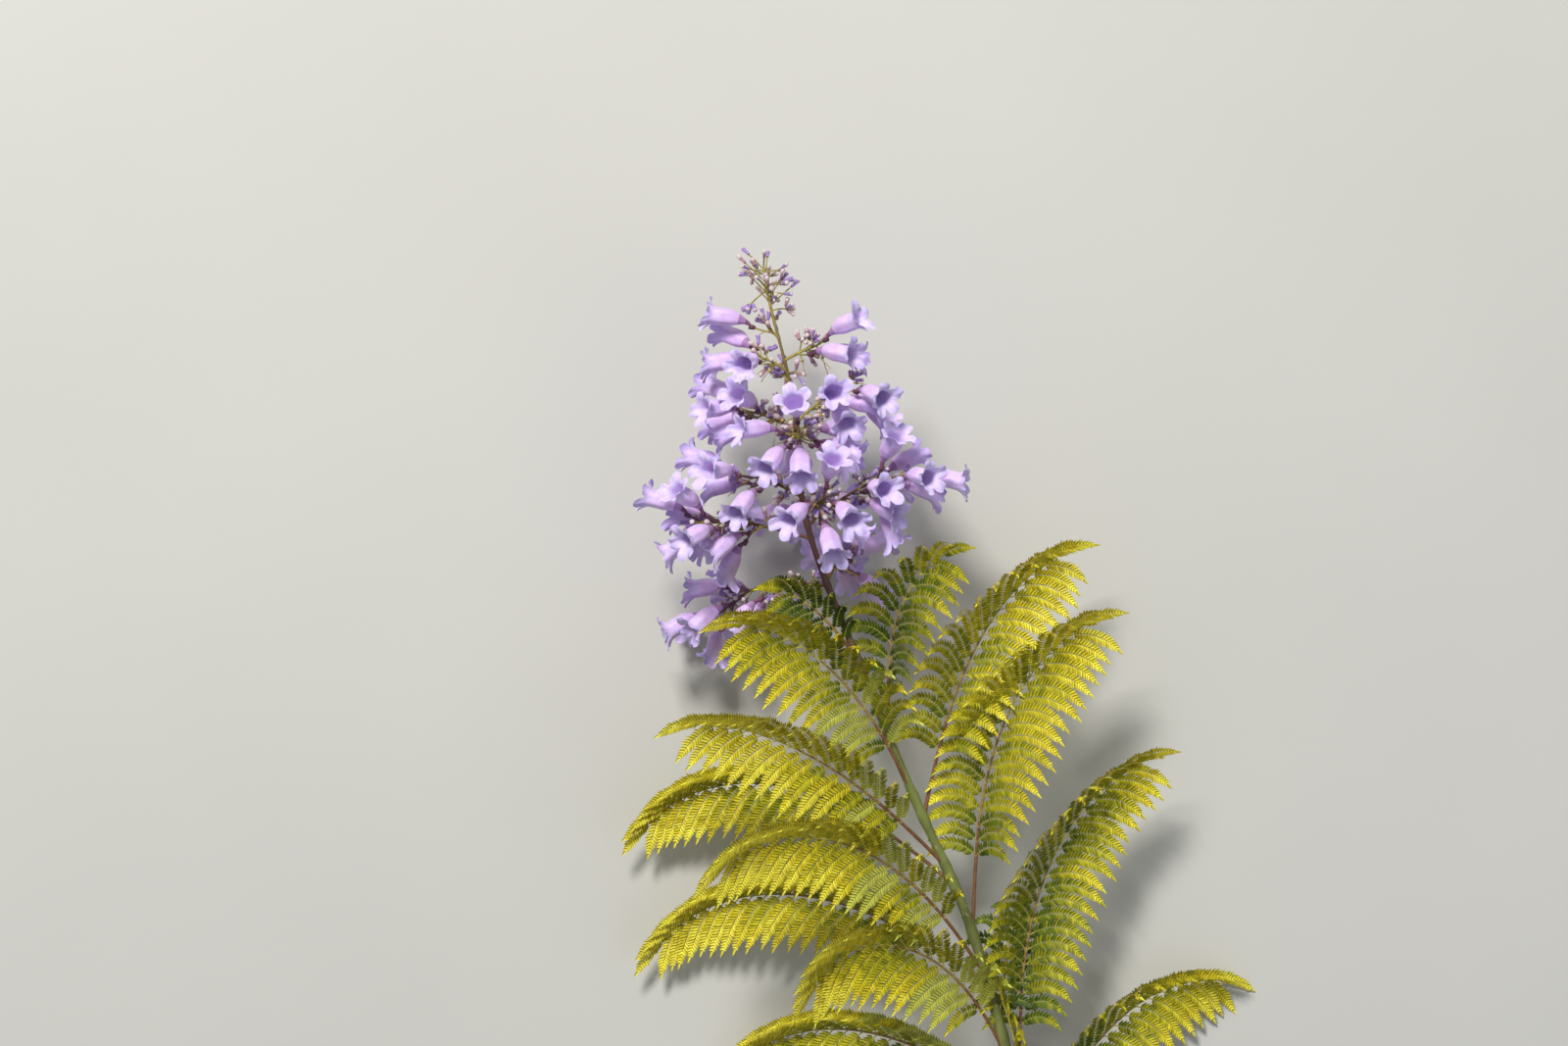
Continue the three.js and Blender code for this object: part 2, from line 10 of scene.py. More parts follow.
import bpy
import numpy as np
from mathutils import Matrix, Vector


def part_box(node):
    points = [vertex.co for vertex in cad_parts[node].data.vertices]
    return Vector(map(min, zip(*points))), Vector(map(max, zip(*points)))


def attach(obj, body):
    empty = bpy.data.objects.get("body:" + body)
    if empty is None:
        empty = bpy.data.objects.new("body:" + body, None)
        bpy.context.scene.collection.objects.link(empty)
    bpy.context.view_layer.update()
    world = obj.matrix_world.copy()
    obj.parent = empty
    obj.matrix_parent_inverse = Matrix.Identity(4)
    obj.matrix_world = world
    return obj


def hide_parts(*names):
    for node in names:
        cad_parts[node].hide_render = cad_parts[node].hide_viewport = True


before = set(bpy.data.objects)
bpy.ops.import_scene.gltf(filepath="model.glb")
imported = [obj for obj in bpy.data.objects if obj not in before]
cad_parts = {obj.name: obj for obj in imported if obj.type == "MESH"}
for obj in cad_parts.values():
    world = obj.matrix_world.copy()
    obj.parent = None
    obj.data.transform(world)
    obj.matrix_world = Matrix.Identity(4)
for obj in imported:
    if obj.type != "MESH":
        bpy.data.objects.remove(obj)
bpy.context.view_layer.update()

MM = 0.001

# Stem: its sway at every STEM_STEP of height, its rise from foot to tip, its radii
STEM_SWAY = [0, -24, -54, -98, -139, -176, -188, -214]
STEM_STEP = 100
STEM_TOP = 651
STEM_LIFT = 78
FOOT_RADIUS = 5.4
NECK_HEIGHT = 405
NECK_RADIUS = 3.6
TIP_RADIUS = 1.2
STEM_SIDES = 8
STEM_RINGS = 20
STEM_BALL_STEP = 7
STEM_ROOM = 1
# Shares of those radii that the bark has, without the solid's corners, at the foot and the neck
BARK_SLIMNESS = (0.88, 0.76)
CLEARANCE = 0.3
TOO_ALIGNED = 0.1

# Nothing is lower than this above the floor: what would hang lower is flattened on it
FLOOR_GAP = 0.2

# Leaves: name, height on the stem, turn at the base and tip, rise at the base and tip, length,
# roll towards the viewer at the base and tip, longest pinna, and how golden the leaf is, which is
# partly its gold colour and partly painted sun, low on shaded leaves as painted shade
Leaf = namedtuple("Leaf", "name height turns rises length rolls longest golden")
LEAVES = [
    Leaf("leaf_left_0", 396, (150, 168), (50, 24), 80, (84, 104), 34, 0.22),
    Leaf("leaf_left_1", 290, (148, 168), (60, 12), 197, (92, 116), 58, 0.56),
    Leaf("leaf_right_1", 336, (50, 24), (92, 30), 154, (84, 116), 44, 0.38),
    Leaf("leaf_left_2", 236, (150, 176), (42, 5), 230, (92, 118), 52, 0.80),
    Leaf("leaf_low_2", 222, (199, 185), (38, -44), 268, (92, 112), 48, 0.60),
    Leaf("leaf_right_2", 274, (2, -8), (78, 34), 230, (70, 122), 52, 0.66),
    Leaf("leaf_left_3", 151, (150, 174), (53, -38), 256, (92, 118), 52, 0.78),
    Leaf("leaf_low_3", 146, (197, 184), (33, -46), 280, (92, 112), 48, 0.70),
    Leaf("leaf_right_3", 184, (34, 8), (88, 34), 262, (82, 122), 54, 0.64),
    Leaf("leaf_back_4", 106, (-84, -60), (80, 50), 96, (24, 24), 36, 0.10),
    Leaf("leaf_left_4", 86, (150, 170), (60, -56), 205, (92, 118), 56, 0.66),
    Leaf("leaf_low_4", 50, (200, 187), (32, -42), 244, (92, 112), 48, 0.62),
    Leaf("leaf_right_4", 44, (14, 4), (92, 32), 300, (100, 130), 50, 0.50),
    Leaf("leaf_front_5", 34, (124, 132), (82, 58), 102, (40, 40), 30, 0.60),
    Leaf("leaf_left_5", 18, (188, 183), (14, -52), 196, (92, 112), 44, 0.50),
    Leaf("leaf_right_5", 14, (-18, -15), (62, 0), 212, (80, 124), 46, 0.58),
]
LEAF_STEPS = 8
RISE_POWER = 2
PETIOLE_SHARE = 0.23
RACHIS_BASE_RADIUS = 1.5
RACHIS_TIP_RADIUS = 0.5
RACHIS_RINGS = 49
RACHIS_SIDES = 6
JOINT_HALF_LENGTH = 1.6

# Pinnae: their number, their sweep forwards and their droop, each with the share that it loses
# towards the leaf's tip, and the arch of their lengths along the leaf; those that set off
# upwards droop less
PINNA_SPACING = 11.5
LEAST_PAIRS = 6
PINNA_SWEEP = 48
SWEEP_LOSS = 0.5
PINNA_LIFT = 22
PINNA_DROOP = 1.5
DROOP_LOSS = 0.25
DROOP_POWER = 1.2
UPWARD_STIFFNESS = 0.4
PINNA_STEPS = 12
LEAST_PINNA = 0.3
ARCH_FROM = 0.18
ARCH_TO = 0.84
ARCH_POWER = 0.9
PINNA_HALF_WIDTH = 6.4
LEAST_WIDTH = 0.5
WIDE_FROM = 45
RIB_RADII = (0.5, 0.25)
RIB_SIDES = 4

# Leaflets, in a comb on both sides of a pinna's rib, whose two rows fold up like a V
LEAFLET_SPACING = 2.6
LEAST_LEAFLETS = 5
LEAFLET_ANGLE = 58
LEAFLET_FOLD = 0.36
LEAFLET_WIDTH = 1.4
LEAFLET_CURL = 0.14
# A leaflet's outline: share of its length, share of its half width, lift of its edge
LEAFLET_STATIONS = [
    (0.0, 0.2, 0.0),
    (0.3, 1.0, 0.35),
    (0.62, 0.8, 0.35),
    (0.84, 0.42, 0.2),
    (1.0, 0.0, 0.0),
]

# Flower branches: name, height on the stem, turn, rise at the base and tip, length, blossoms,
# buds, bud stalk, the fan of the blossoms' turn, their middle rise, its fan
Cyme = namedtuple("Cyme", "name height turn rises length blossoms buds bud_stalk fan_turn aim_rise fan_rise")
CYMES = [
    Cyme("cyme_tip", 650, 170, (76, 84), 46, 0, 16, 20, 320, 0, 60),
    Cyme("cyme_left_1", 642, 172, (40, 20), 8, 1, 3, 8, 40, 12, 20),
    Cyme("cyme_right_1", 624, 15, (28, 15), 28, 3, 3, 8, 80, 6, 50),
    Cyme("cyme_left_2", 616, 165, (35, 10), 22, 3, 2, 7, 110, 2, 50),
    Cyme("cyme_right_2", 576, 18, (42, 20), 52, 6, 3, 7, 130, 0, 70),
    Cyme("cyme_left_3", 570, 176, (30, 5), 42, 5, 2, 7, 120, -4, 70),
    Cyme("cyme_front_1", 556, 88, (34, 10), 36, 6, 2, 7, 180, -6, 90),
    Cyme("cyme_back_1", 560, -88, (20, 0), 30, 3, 1, 7, 120, 0, 60),
    Cyme("cyme_left_4", 520, 166, (28, 0), 50, 5, 2, 7, 120, -6, 80),
    Cyme("cyme_right_3", 498, 18, (38, 5), 84, 9, 3, 7, 120, -8, 110),
    Cyme("cyme_front_2", 505, 68, (24, 5), 52, 6, 2, 7, 170, -8, 100),
    Cyme("cyme_back_2", 500, -84, (25, 0), 54, 4, 1, 7, 130, 0, 60),
    Cyme("cyme_left_5", 488, 170, (16, -8), 88, 8, 2, 7, 110, -12, 100),
    Cyme("cyme_left_6", 452, 206, (4, -50), 100, 8, 1, 7, 100, -36, 80),
    Cyme("cyme_right_4", 454, -56, (50, 20), 34, 5, 1, 7, 130, -6, 80),
]
CYME_STEPS = 3
CYME_RADIUS = 1.3
CYME_TIP_RADIUS = 0.9
CYME_SEEDS = 1000

# Along a branch each blossom and bud is a golden share of the fan further round than the last
GOLDEN = 0.618
BLOSSOM_FROM = 0.4
BLOSSOM_START = 0.35
BLOSSOM_STRAY = 0.4
BLOSSOM_TRIES = 60
PEDICEL_LENGTHS = (6.4, 13.6)
PEDICEL_RADIUS = 0.7
CALYX_RADIUS = 1.8
CALYX_LENGTH = 3
STALK_FREE_FROM = 0.3
BUDS_FROM = 0.3
BUD_FAN = 40
BUD_RISE = 25
BUD_RISE_FAN = 60
BUD_STALK_SHARES = (0.5, 1.2)
BUD_LENGTHS = (5.6, 10.4)
BUD_RADIUS = 1.8
BEAD_STEP = 3
BEAD_SLACK = 1e-6

# The space a blossom takes: balls on its axis, and the same in each lobe
LOBES = 5
LOBE_REACH = 40
THROAT_DEPTH = 12
TUBE_BEND = 3
TUBE_BALLS = [(4.5, 2.4), (10, 3.3), (16.5, 5.2), (23, 7.2)]
LOBE_BALLS = [(0, 8.2, 31, 4.2), (-0.26, 10.6, 37.6, 4.8), (0.26, 10.6, 37.6, 4.8)]


# Chance


def chance(seed):
    """The same run of chance numbers each time, from a seed."""
    state = seed

    def draw():
        nonlocal state
        state = (state + 0x6D2B79F5) & 0xFFFFFFFF
        t = ((state ^ (state >> 15)) * (1 | state)) & 0xFFFFFFFF
        t = ((t + (((t ^ (t >> 7)) * (61 | t)) & 0xFFFFFFFF)) & 0xFFFFFFFF) ^ t
        return ((t ^ (t >> 14)) & 0xFFFFFFFF) / 4294967296

    return draw


def stray(random, span):
    """A chance amount, up to half the span on either side of 0."""
    return span * (random() - 0.5)


# Directions and middle lines


def vec(x, y, z):
    return np.array([x, y, z], dtype=float)


def lerp(a, b, share):
    return a + (b - a) * share


def unit(v):
    return v / np.linalg.norm(v, axis=-1, keepdims=True)


def full_circle(count):
    """Angles at even steps, once round."""
    return 2 * math.pi * np.arange(count) / count


def direction(turn, rise):
    t = math.radians(turn)
    r = math.radians(rise)
    return vec(math.cos(r) * math.cos(t), math.sin(r), math.cos(r) * math.sin(t))


def limb(start, turns, rises, length, steps):
    """A limb's middle line, whose turn and rise change from its base to its tip."""
    points = [start]
    for k in range(steps):
        share = (k + 0.5) / steps
        heading = direction(lerp(*turns, share), lerp(*rises, share**RISE_POWER))
        points.append(points[-1] + heading * (length / steps))
    return np.array(points)


def tangents_of(points):
    ends = np.concatenate([points[:1], points, points[-1:]])
    return unit(ends[2:] - ends[:-2])


def along(points, share):
    """The place at a share of the way through a row of points."""
    at = share * (len(points) - 1)
    k = min(int(at), len(points) - 2)
    return lerp(points[k], points[k + 1], at - k)


def path_at(points, tangents, share):
    """The point and direction at a share of a line's length."""
    return along(points, share), unit(along(tangents, share))


def through(points, at):
    """Places on a line without corners through the points; at counts in points from the first."""
    ends = np.concatenate([2 * points[:1] - points[1:2], points, 2 * points[-1:] - points[-2:-1]])
    k = np.minimum(at.astype(int), len(points) - 2)
    t = (at - k)[:, None]
    before, here, there, after = (ends[k + i] for i in range(4))
    slope0 = 0.5 * (there - before)
    slope1 = 0.5 * (after - here)
    bend = 3 * (there - here) - 2 * slope0 - slope1
    twist = 2 * (here - there) + slope0 + slope1
    return here + t * (slope0 + t * (bend + t * twist))


def smooth(points, count):
    """A line of count points through the given ones, without corners."""
    return through(points, np.linspace(0, len(points) - 1, count))


LIFT_STEP = STEM_LIFT / (len(STEM_SWAY) - 1)
STEM_POINTS = np.array([(x, k * STEM_STEP, k * LIFT_STEP) for k, x in enumerate(STEM_SWAY)])


def stem_at(height):
    """The middle of the stem at a height."""
    return through(STEM_POINTS, np.array([height / STEM_STEP]))[0]


def stem_line(heights):
    return np.array([stem_at(h) for h in heights])


def stem_radius(height):
    if height < NECK_HEIGHT:
        return lerp(FOOT_RADIUS, NECK_RADIUS, height / NECK_HEIGHT)
    return lerp(NECK_RADIUS, TIP_RADIUS, (height - NECK_HEIGHT) / (STEM_TOP - NECK_HEIGHT))


# Taken space, as rows of a ball's middle and radius

taken = [np.zeros((0, 4))]


def is_free(balls):
    used = np.concatenate(taken)
    taken[:] = [used]
    gaps = np.linalg.norm(balls[:, None, :3] - used[None, :, :3], axis=2)
    return bool((gaps > balls[:, None, 3] + used[None, :, 3]).all())


def beads(start, end, radius):
    """Balls along a thin piece from one point to another."""
    count = math.ceil(np.linalg.norm(end - start) / BEAD_STEP - BEAD_SLACK)
    shares = np.arange(1, count + 1)[:, None] / count
    return np.hstack([lerp(start, end, shares), np.full((count, 1), radius)])


def beads_along(line, radius):
    return np.concatenate([beads(a, b, radius) for a, b in zip(line, line[1:])])


# Meshes


class Heap:
    """Points and faces gathered for one joined mesh, each face with the number of its paint."""

    def __init__(self):
        self.points = []
        self.faces = {3: [], 4: []}
        self.paints = {3: [], 4: []}
        self.count = 0

    def add(self, points, faces, paint):
        faces = np.asarray(faces)
        sides = faces.shape[1]
        self.points.append(points)
        self.faces[sides].append(faces + self.count)
        self.paints[sides].append(np.broadcast_to(paint, len(faces)))
        self.count += len(points)

    def mesh(self, name, materials):
        """One object of all that was gathered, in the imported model's frame."""
        mesh = bpy.data.meshes.new(name)
        points = np.concatenate(self.points) + SHIFT
        points[:, 2] = np.maximum(points[:, 2], FLOOR_GAP)
        points *= MM
        parts = [(s, np.concatenate(f)) for s, f in self.faces.items() if f]
        corners = np.concatenate([f.ravel() for _, f in parts])
        sizes = np.concatenate([np.full(len(f), s) for s, f in parts])
        paints = np.concatenate([np.concatenate(self.paints[s]) for s, _ in parts])
        mesh.vertices.add(len(points))
        mesh.vertices.foreach_set("co", points.ravel())
        mesh.loops.add(len(corners))
        mesh.loops.foreach_set("vertex_index", corners)
        mesh.polygons.add(len(sizes))
        mesh.polygons.foreach_set("loop_start", np.concatenate([[0], np.cumsum(sizes)[:-1]]))
        mesh.polygons.foreach_set("material_index", paints)
        mesh.polygons.foreach_set("use_smooth", np.ones(len(sizes), dtype=bool))
        for material in materials:
            mesh.materials.append(material)
        mesh.update(calc_edges=True)
        mesh.validate()
        piece = bpy.data.objects.new(name, mesh)
        bpy.context.collection.objects.link(piece)
        return piece


def rings_round(line, radii, sides):
    """Rings round a line, turned as little as possible from one to the next."""
    tangents = tangents_of(line)
    side = np.cross(vec(0, 0, 1), tangents[0])
    if np.linalg.norm(side) < TOO_ALIGNED:
        side = np.cross(vec(1, 0, 0), tangents[0])
    angles = full_circle(sides)[:, None]
    rings = []
    for point, tangent, radius in zip(line, tangents, radii):
        side = unit(side - tangent * side.dot(tangent))
        up = np.cross(tangent, side)
        radius = np.broadcast_to(radius, sides)[:, None]
        rings.append(point + radius * (np.cos(angles) * side + np.sin(angles) * up))
    return np.array(rings)


def grid_faces(rings, sides):
    """Four-cornered faces between closed rings of points."""
    ring, i = np.meshgrid(np.arange(rings - 1), np.arange(sides), indexing="ij")
    j = (i + 1) % sides
    low = ring * sides
    return np.stack([low + i, low + j, low + sides + j, low + sides + i], axis=-1).reshape(-1, 4)


def add_rings(heap, rings, paints):
    """A skin over closed rings, with both ends closed; paints has one number, or one a ring gap."""
    count, sides = rings.shape[:2]
    paints = np.broadcast_to(paints, count - 1)
    heap.add(rings.reshape(-1, 3), grid_faces(count, sides), np.repeat(paints, sides))
    fan = np.array([(0, i, i + 1) for i in range(1, sides - 1)])
    heap.add(rings[0], fan[:, ::-1], paints[0])
    heap.add(rings[-1], fan, paints[-1])


def add_tube(heap, line, radii, sides, paints):
    add_rings(heap, rings_round(line, radii, sides), paints)


# Where the work frame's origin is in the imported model: the two stems' low corners are one point
stem_heights = np.linspace(0, STEM_TOP, STEM_RINGS)
stem_rings = rings_round(stem_line(stem_heights), [stem_radius(h) for h in stem_heights], STEM_SIDES)
SHIFT = np.array(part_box("stem")[0]) / MM - stem_rings.reshape(-1, 3).min(axis=0)


# Materials

GLOW_DEPTH = 2.5

# A mottled colour: where its noise is dark, middling and light; its bumps are finer than it
MOTTLE_STOPS = (0.3, 0.5, 0.7)
BUMP_FINENESS = 4
BUMP_STRENGTH = 0.6

# Bark: its colour at shares of the stem's length, and the streaks that darken and lighten that
BARK_STOPS = [
    (0.0, (0.15, 0.15, 0.05)),
    (0.3, (0.17, 0.2, 0.05)),
    (0.48, (0.17, 0.2, 0.05)),
    (0.58, (0.14, 0.11, 0.045)),
    (0.67, (0.1, 0.042, 0.035)),
    (0.84, (0.1, 0.042, 0.035)),
    (0.95, (0.22, 0.17, 0.05)),
]
STREAK_WAVES = 90
STREAK_DETAIL = 5
STREAK_STRETCH = (1, 0.35, 1)
STREAK_STOPS = [(0.3, (0.6,) * 3), (0.7, (1.3,) * 3)]
STREAK_BUMP = 0.5


def shader_of(material):
    return next(n for n in material.node_tree.nodes if n.type == "BSDF_PRINCIPLED")


def add_node(material, kind, **settings):
    node = material.node_tree.nodes.new(kind)
    for name, value in settings.items():
        setattr(node, name, value)
    return node


def noise_of(material, scale, detail=3.0, stretch=(1, 1, 1)):
    """A noise pattern in the object's own space; scale is in waves a metre."""
    links = material.node_tree.links
    place = add_node(material, "ShaderNodeTexCoord")
    fit = add_node(material, "ShaderNodeMapping")
    fit.inputs["Scale"].default_value = stretch
    noise = add_node(material, "ShaderNodeTexNoise")
    noise.inputs["Scale"].default_value = scale
    noise.inputs["Detail"].default_value = detail
    links.new(place.outputs["Object"], fit.inputs["Vector"])
    links.new(fit.outputs["Vector"], noise.inputs["Vector"])
    return noise


def ramp_of(material, factor, stops):
    ramp = add_node(material, "ShaderNodeValToRGB")
    elements = ramp.color_ramp.elements
    while len(elements) < len(stops):
        elements.new(0.5)
    for element, (place, colour) in zip(elements, stops):
        element.position = place
        element.color = (*colour, 1)
    material.node_tree.links.new(factor, ramp.inputs["Fac"])
    return ramp


def add_bump(material, height, distance, strength):
    bump = add_node(material, "ShaderNodeBump")
    bump.inputs["Distance"].default_value = distance
    bump.inputs["Strength"].default_value = strength
    links = material.node_tree.links
    links.new(height, bump.inputs["Height"])
    links.new(bump.outputs["Normal"], shader_of(material).inputs["Normal"])


def plain(name, roughness, sheen=0.0, glow=0.0):
    """A material whose constant settings are on the shader itself."""
    material = bpy.data.materials.new(name)
    material.use_nodes = True
    shader = shader_of(material)
    shader.inputs["Roughness"].default_value = roughness
    shader.inputs["Sheen Weight"].default_value = sheen
    shader.inputs["Subsurface Weight"].default_value = glow
    shader.inputs["Subsurface Scale"].default_value = GLOW_DEPTH * MM
    return material


def mottled(name, colour, spread, scale, roughness, bump=0.0, sheen=0.0, glow=0.0):
    """A colour that wanders a little to darker and lighter, with fine bumps."""
    material = plain(name, roughness, sheen, glow)
    noise = noise_of(material, scale)
    dark = [c * (1 - spread) for c in colour]
    light = [min(1, c * (1 + spread)) for c in colour]
    ramp = ramp_of(material, noise.outputs["Fac"], list(zip(MOTTLE_STOPS, (dark, colour, light))))
    material.node_tree.links.new(ramp.outputs["Color"], shader_of(material).inputs["Base Color"])
    if bump:
        fine = noise_of(material, scale * BUMP_FINENESS)
        add_bump(material, fine.outputs["Fac"], bump * MM, BUMP_STRENGTH)
    return material


def bark_material():
    """Green young bark that turns purple-brown in the flower head, with streaks along it."""
    material = plain("bark", 0.55)
    links = material.node_tree.links
    place = add_node(material, "ShaderNodeTexCoord")
    split = add_node(material, "ShaderNodeSeparateXYZ")
    links.new(place.outputs["Object"], split.inputs["Vector"])
    reach = add_node(material, "ShaderNodeMapRange")
    reach.inputs["From Min"].default_value = (stem_at(0)[1] + SHIFT[1]) * MM
    reach.inputs["From Max"].default_value = (stem_at(STEM_TOP)[1] + SHIFT[1]) * MM
    links.new(split.outputs["Y"], reach.inputs["Value"])
    along_stem = ramp_of(material, reach.outputs["Result"], BARK_STOPS)
    noise = noise_of(material, STREAK_WAVES, STREAK_DETAIL, STREAK_STRETCH)
    streaks = ramp_of(material, noise.outputs["Fac"], STREAK_STOPS)
    shaded = add_node(material, "ShaderNodeMixRGB", blend_type="MULTIPLY")
    shaded.inputs["Fac"].default_value = 1
    links.new(along_stem.outputs["Color"], shaded.inputs["Color1"])
    links.new(streaks.outputs["Color"], shaded.inputs["Color2"])
    links.new(shaded.outputs["Color"], shader_of(material).inputs["Base Color"])
    add_bump(material, noise.outputs["Fac"], STREAK_BUMP * MM, 0.5)
    return material


# Stem

# Bark: its rings and sides, the height and reach of its swellings where a leaf or a flower branch
# leaves it, and its ripples: height, number round the stem, length over which they turn a radian
BARK_RINGS = 261
BARK_SIDES = 20
LEAF_NODE = (0.9, 7)
CYME_NODE = (0.35, 4)
RIPPLES = [(0.12, 3, 37), (0.07, 5, -23)]
BARK_PAINT, PORE_PAINT = range(2)

# Pores: their number, the height on the stem up to which there are some, the rise of the chance
# directions that turn them round it; then the size of one, and its gap from the bark
PORES = 150
PORES_BELOW = 360
PORE_RISE = 20
PORE_LENGTHS = (1.1, 2.2)
PORE_HALF_WIDTH = 0.45
PORE_HEIGHT = 0.35
PORE_GAP = 0.05
PORE_CORNERS = 6
PORE_SEED = 7


def bark_radius(height):
    return stem_radius(height) * lerp(*BARK_SLIMNESS, min(1, height / NECK_HEIGHT))


def add_pores(heap, line):
    """Pale pores, each a low six-sided point that is longer along the stem than across it."""
    random = chance(PORE_SEED)
    tangents = tangents_of(line)
    circle = full_circle(PORE_CORNERS)[:, None]
    faces = [(i, (i + 1) % PORE_CORNERS, PORE_CORNERS) for i in range(PORE_CORNERS)]
    for _ in range(PORES):
        height = PORES_BELOW * random()
        point, tangent = path_at(line, tangents, height / STEM_TOP)
        out = unit(np.cross(tangent, direction(360 * random(), PORE_RISE)))
        long = lerp(*PORE_LENGTHS, random())
        side = np.cross(tangent, out)
        spot = point + out * (bark_radius(height) + PORE_GAP)
        ring = spot + tangent * long * np.cos(circle) + side * PORE_HALF_WIDTH * np.sin(circle)
        heap.add(np.vstack([ring, spot + out * PORE_HEIGHT]), faces, PORE_PAINT)


def stem_piece():
    """The stem's bark: swollen nodes where leaves and flower branches leave it, and pale pores."""
    heights = np.linspace(0, STEM_TOP, BARK_RINGS)
    line = stem_line(heights)
    radii = np.array([bark_radius(h) for h in heights])
    # The first flower branch goes on from the stem's tip, so it has no node
    for rows, (swelling, reach) in ((LEAVES, LEAF_NODE), (CYMES[1:], CYME_NODE)):
        for row in rows:
            radii += swelling * np.exp(-(((heights - row.height) / reach) ** 2))
    angles = full_circle(BARK_SIDES)
    ripple = sum(h * np.sin(n * angles[None] + heights[:, None] / turn) for h, n, turn in RIPPLES)
    heap = Heap()
    add_tube(heap, line, radii[:, None] + ripple, BARK_SIDES, BARK_PAINT)
    add_pores(heap, line)
    pale = mottled("pores", (0.42, 0.36, 0.2), 0.2, 900, 0.7)
    return heap.mesh("stem_bark", [bark_material(), pale])


# Leaves

# Leaf: its seed, how much thicker its foot is and over what length, the shares of the rachis at
# which its colour changes, the joints of its pinnae, how much chance changes a pinna's length
LEAF_SEEDS = 400
RACHIS_SWELLING = 0.8
SWELLING_REACH = 5
RACHIS_BANDS = (0.33, 0.66)
JOINT_SWELLING = 1.25
JOINT_END_RADIUS = 0.4
PINNA_LENGTHS = (0.95, 1.07)

# How much more golden a leaf is at its tip than at its base, the place where it is as golden as its
# row says, and what chance adds for a pinna; the same along a pinna, and for a leaflet; and how much
# more the leaflet at a pinna's end has. Golden is partly the leaves' gold colour and partly painted
# light: painted shade towards a leaf's base and near a pinna's rib, painted sun towards their tips
LEAF_SUN_AND_GOLD_GAIN = 0.42
SUN_AND_GOLD_MIDDLE = 0.45
PINNA_TINT_STRAY = 0.24
PINNA_SHADE_TO_SUN = 0.4
LEAFLET_TINT_STRAY = 0.2
END_SUN_AND_GOLD_GAIN = 0.2

# Pale pinnae are a chance share of those near the base of a sunlit leaf on the left that point
# towards the viewer: how far they have to, as a share of their length, and the other limits
PALE_REACH = 0.3
PALE_SUN_AND_GOLD = 0.4
PALE_BELOW = 0.3
PALE_SHARE = 0.5

# Leaflets: the shares of the rib between which they sit, their size at its base and tip with its
# growth from there, their length at full size, what chance adds to their lean, fold and length,
# what they lose of their lean towards the rib's tip, and the length and width of the one at its end
COMB_SPAN = (0.08, 0.97)
BASE_SIZE = 0.6
BASE_GROWTH = 1.8
TIP_SIZE = 0.36
TIP_GROWTH = 1.7
LEAFLET_REACH = 1.04
LEAN_STRAY = 0.14
FOLD_STRAY = 0.24
REACH_STRAY = 0.2
LEAN_LOSS = 0.35
END_LENGTH = 1.15
END_WIDTH = 0.8

# Tints of leaflets from the shade to the sun, and apart from those the pale one of pinnae near a
# leaf's base that point towards the viewer
TINTS = {
    "shade": (0.07, 0.115, 0.01),
    "green": (0.16, 0.22, 0.012),
    "olive": (0.34, 0.35, 0.014),
    "lime": (0.58, 0.54, 0.018),
    "gold": (0.8, 0.68, 0.025),
    "bright": (0.95, 0.83, 0.07),
    "pale": (0.66, 0.68, 0.1),
}
SUN_TINTS = list(TINTS)[:-1]
# The share of its tint that a leaflet's rear half has, which is folded out of the light
REAR_SHARE = 0.5
LEAFLET_SPECULAR = 0.2

# Paints of the ribs: name, colour, spread; the first three go along the rachis
RIB_PAINTS = [
    ("rachis_foot", (0.2, 0.085, 0.03), 0.3),
    ("rachis_middle", (0.3, 0.19, 0.045), 0.3),
    ("rachis_tip", (0.48, 0.44, 0.06), 0.25),
    ("rachis_joint", (0.55, 0.48, 0.2), 0.2),
]
PINNA_RIB_PAINT = 2
JOINT_PAINT = 3


def leaf_face(tangent, turn, roll):
    """The leaf's upper face at a point, rolled towards the viewer."""
    up = unit(np.cross(direction(turn + 90, 0), tangent))
    near = np.cross(tangent, up)
    if math.cos(math.radians(turn)) < 0:
        near = -near
    r = math.radians(roll)
    return up * math.cos(r) + near * math.sin(r)


def pinna_share(place):
    """Longest in the middle of the leaf, shorter at its base and tip."""
    arch = math.sin(math.pi * lerp(ARCH_FROM, ARCH_TO, place)) ** ARCH_POWER
    return lerp(LEAST_PINNA, 1, arch)


def pinna_line(root, tangent, normal, aside, length, place):
    """A pinna's middle line, which sets off forwards from the rachis and droops as it goes."""
    sweep = math.radians(PINNA_SWEEP * (1 - SWEEP_LOSS * place**2))
    lift = math.radians(PINNA_LIFT)
    out = aside * math.cos(lift) + normal * math.sin(lift)
    stiffness = 1 - UPWARD_STIFFNESS * max(0, out[1])
    droop = PINNA_DROOP * (1 - DROOP_LOSS * place**3) * stiffness
    start = tangent * math.cos(sweep) + out * math.sin(sweep)
    points = [root]
    for k in range(PINNA_STEPS):
        share = (k + 0.5) / PINNA_STEPS
        heading = unit(start + vec(0, -1, 0) * droop * share**DROOP_POWER)
        points.append(points[-1] + heading * (length / PINNA_STEPS))
    return np.array(points)


def rachis_line(leaf):
    return limb(stem_at(leaf.height), leaf.turns, leaf.rises, leaf.length, LEAF_STEPS)


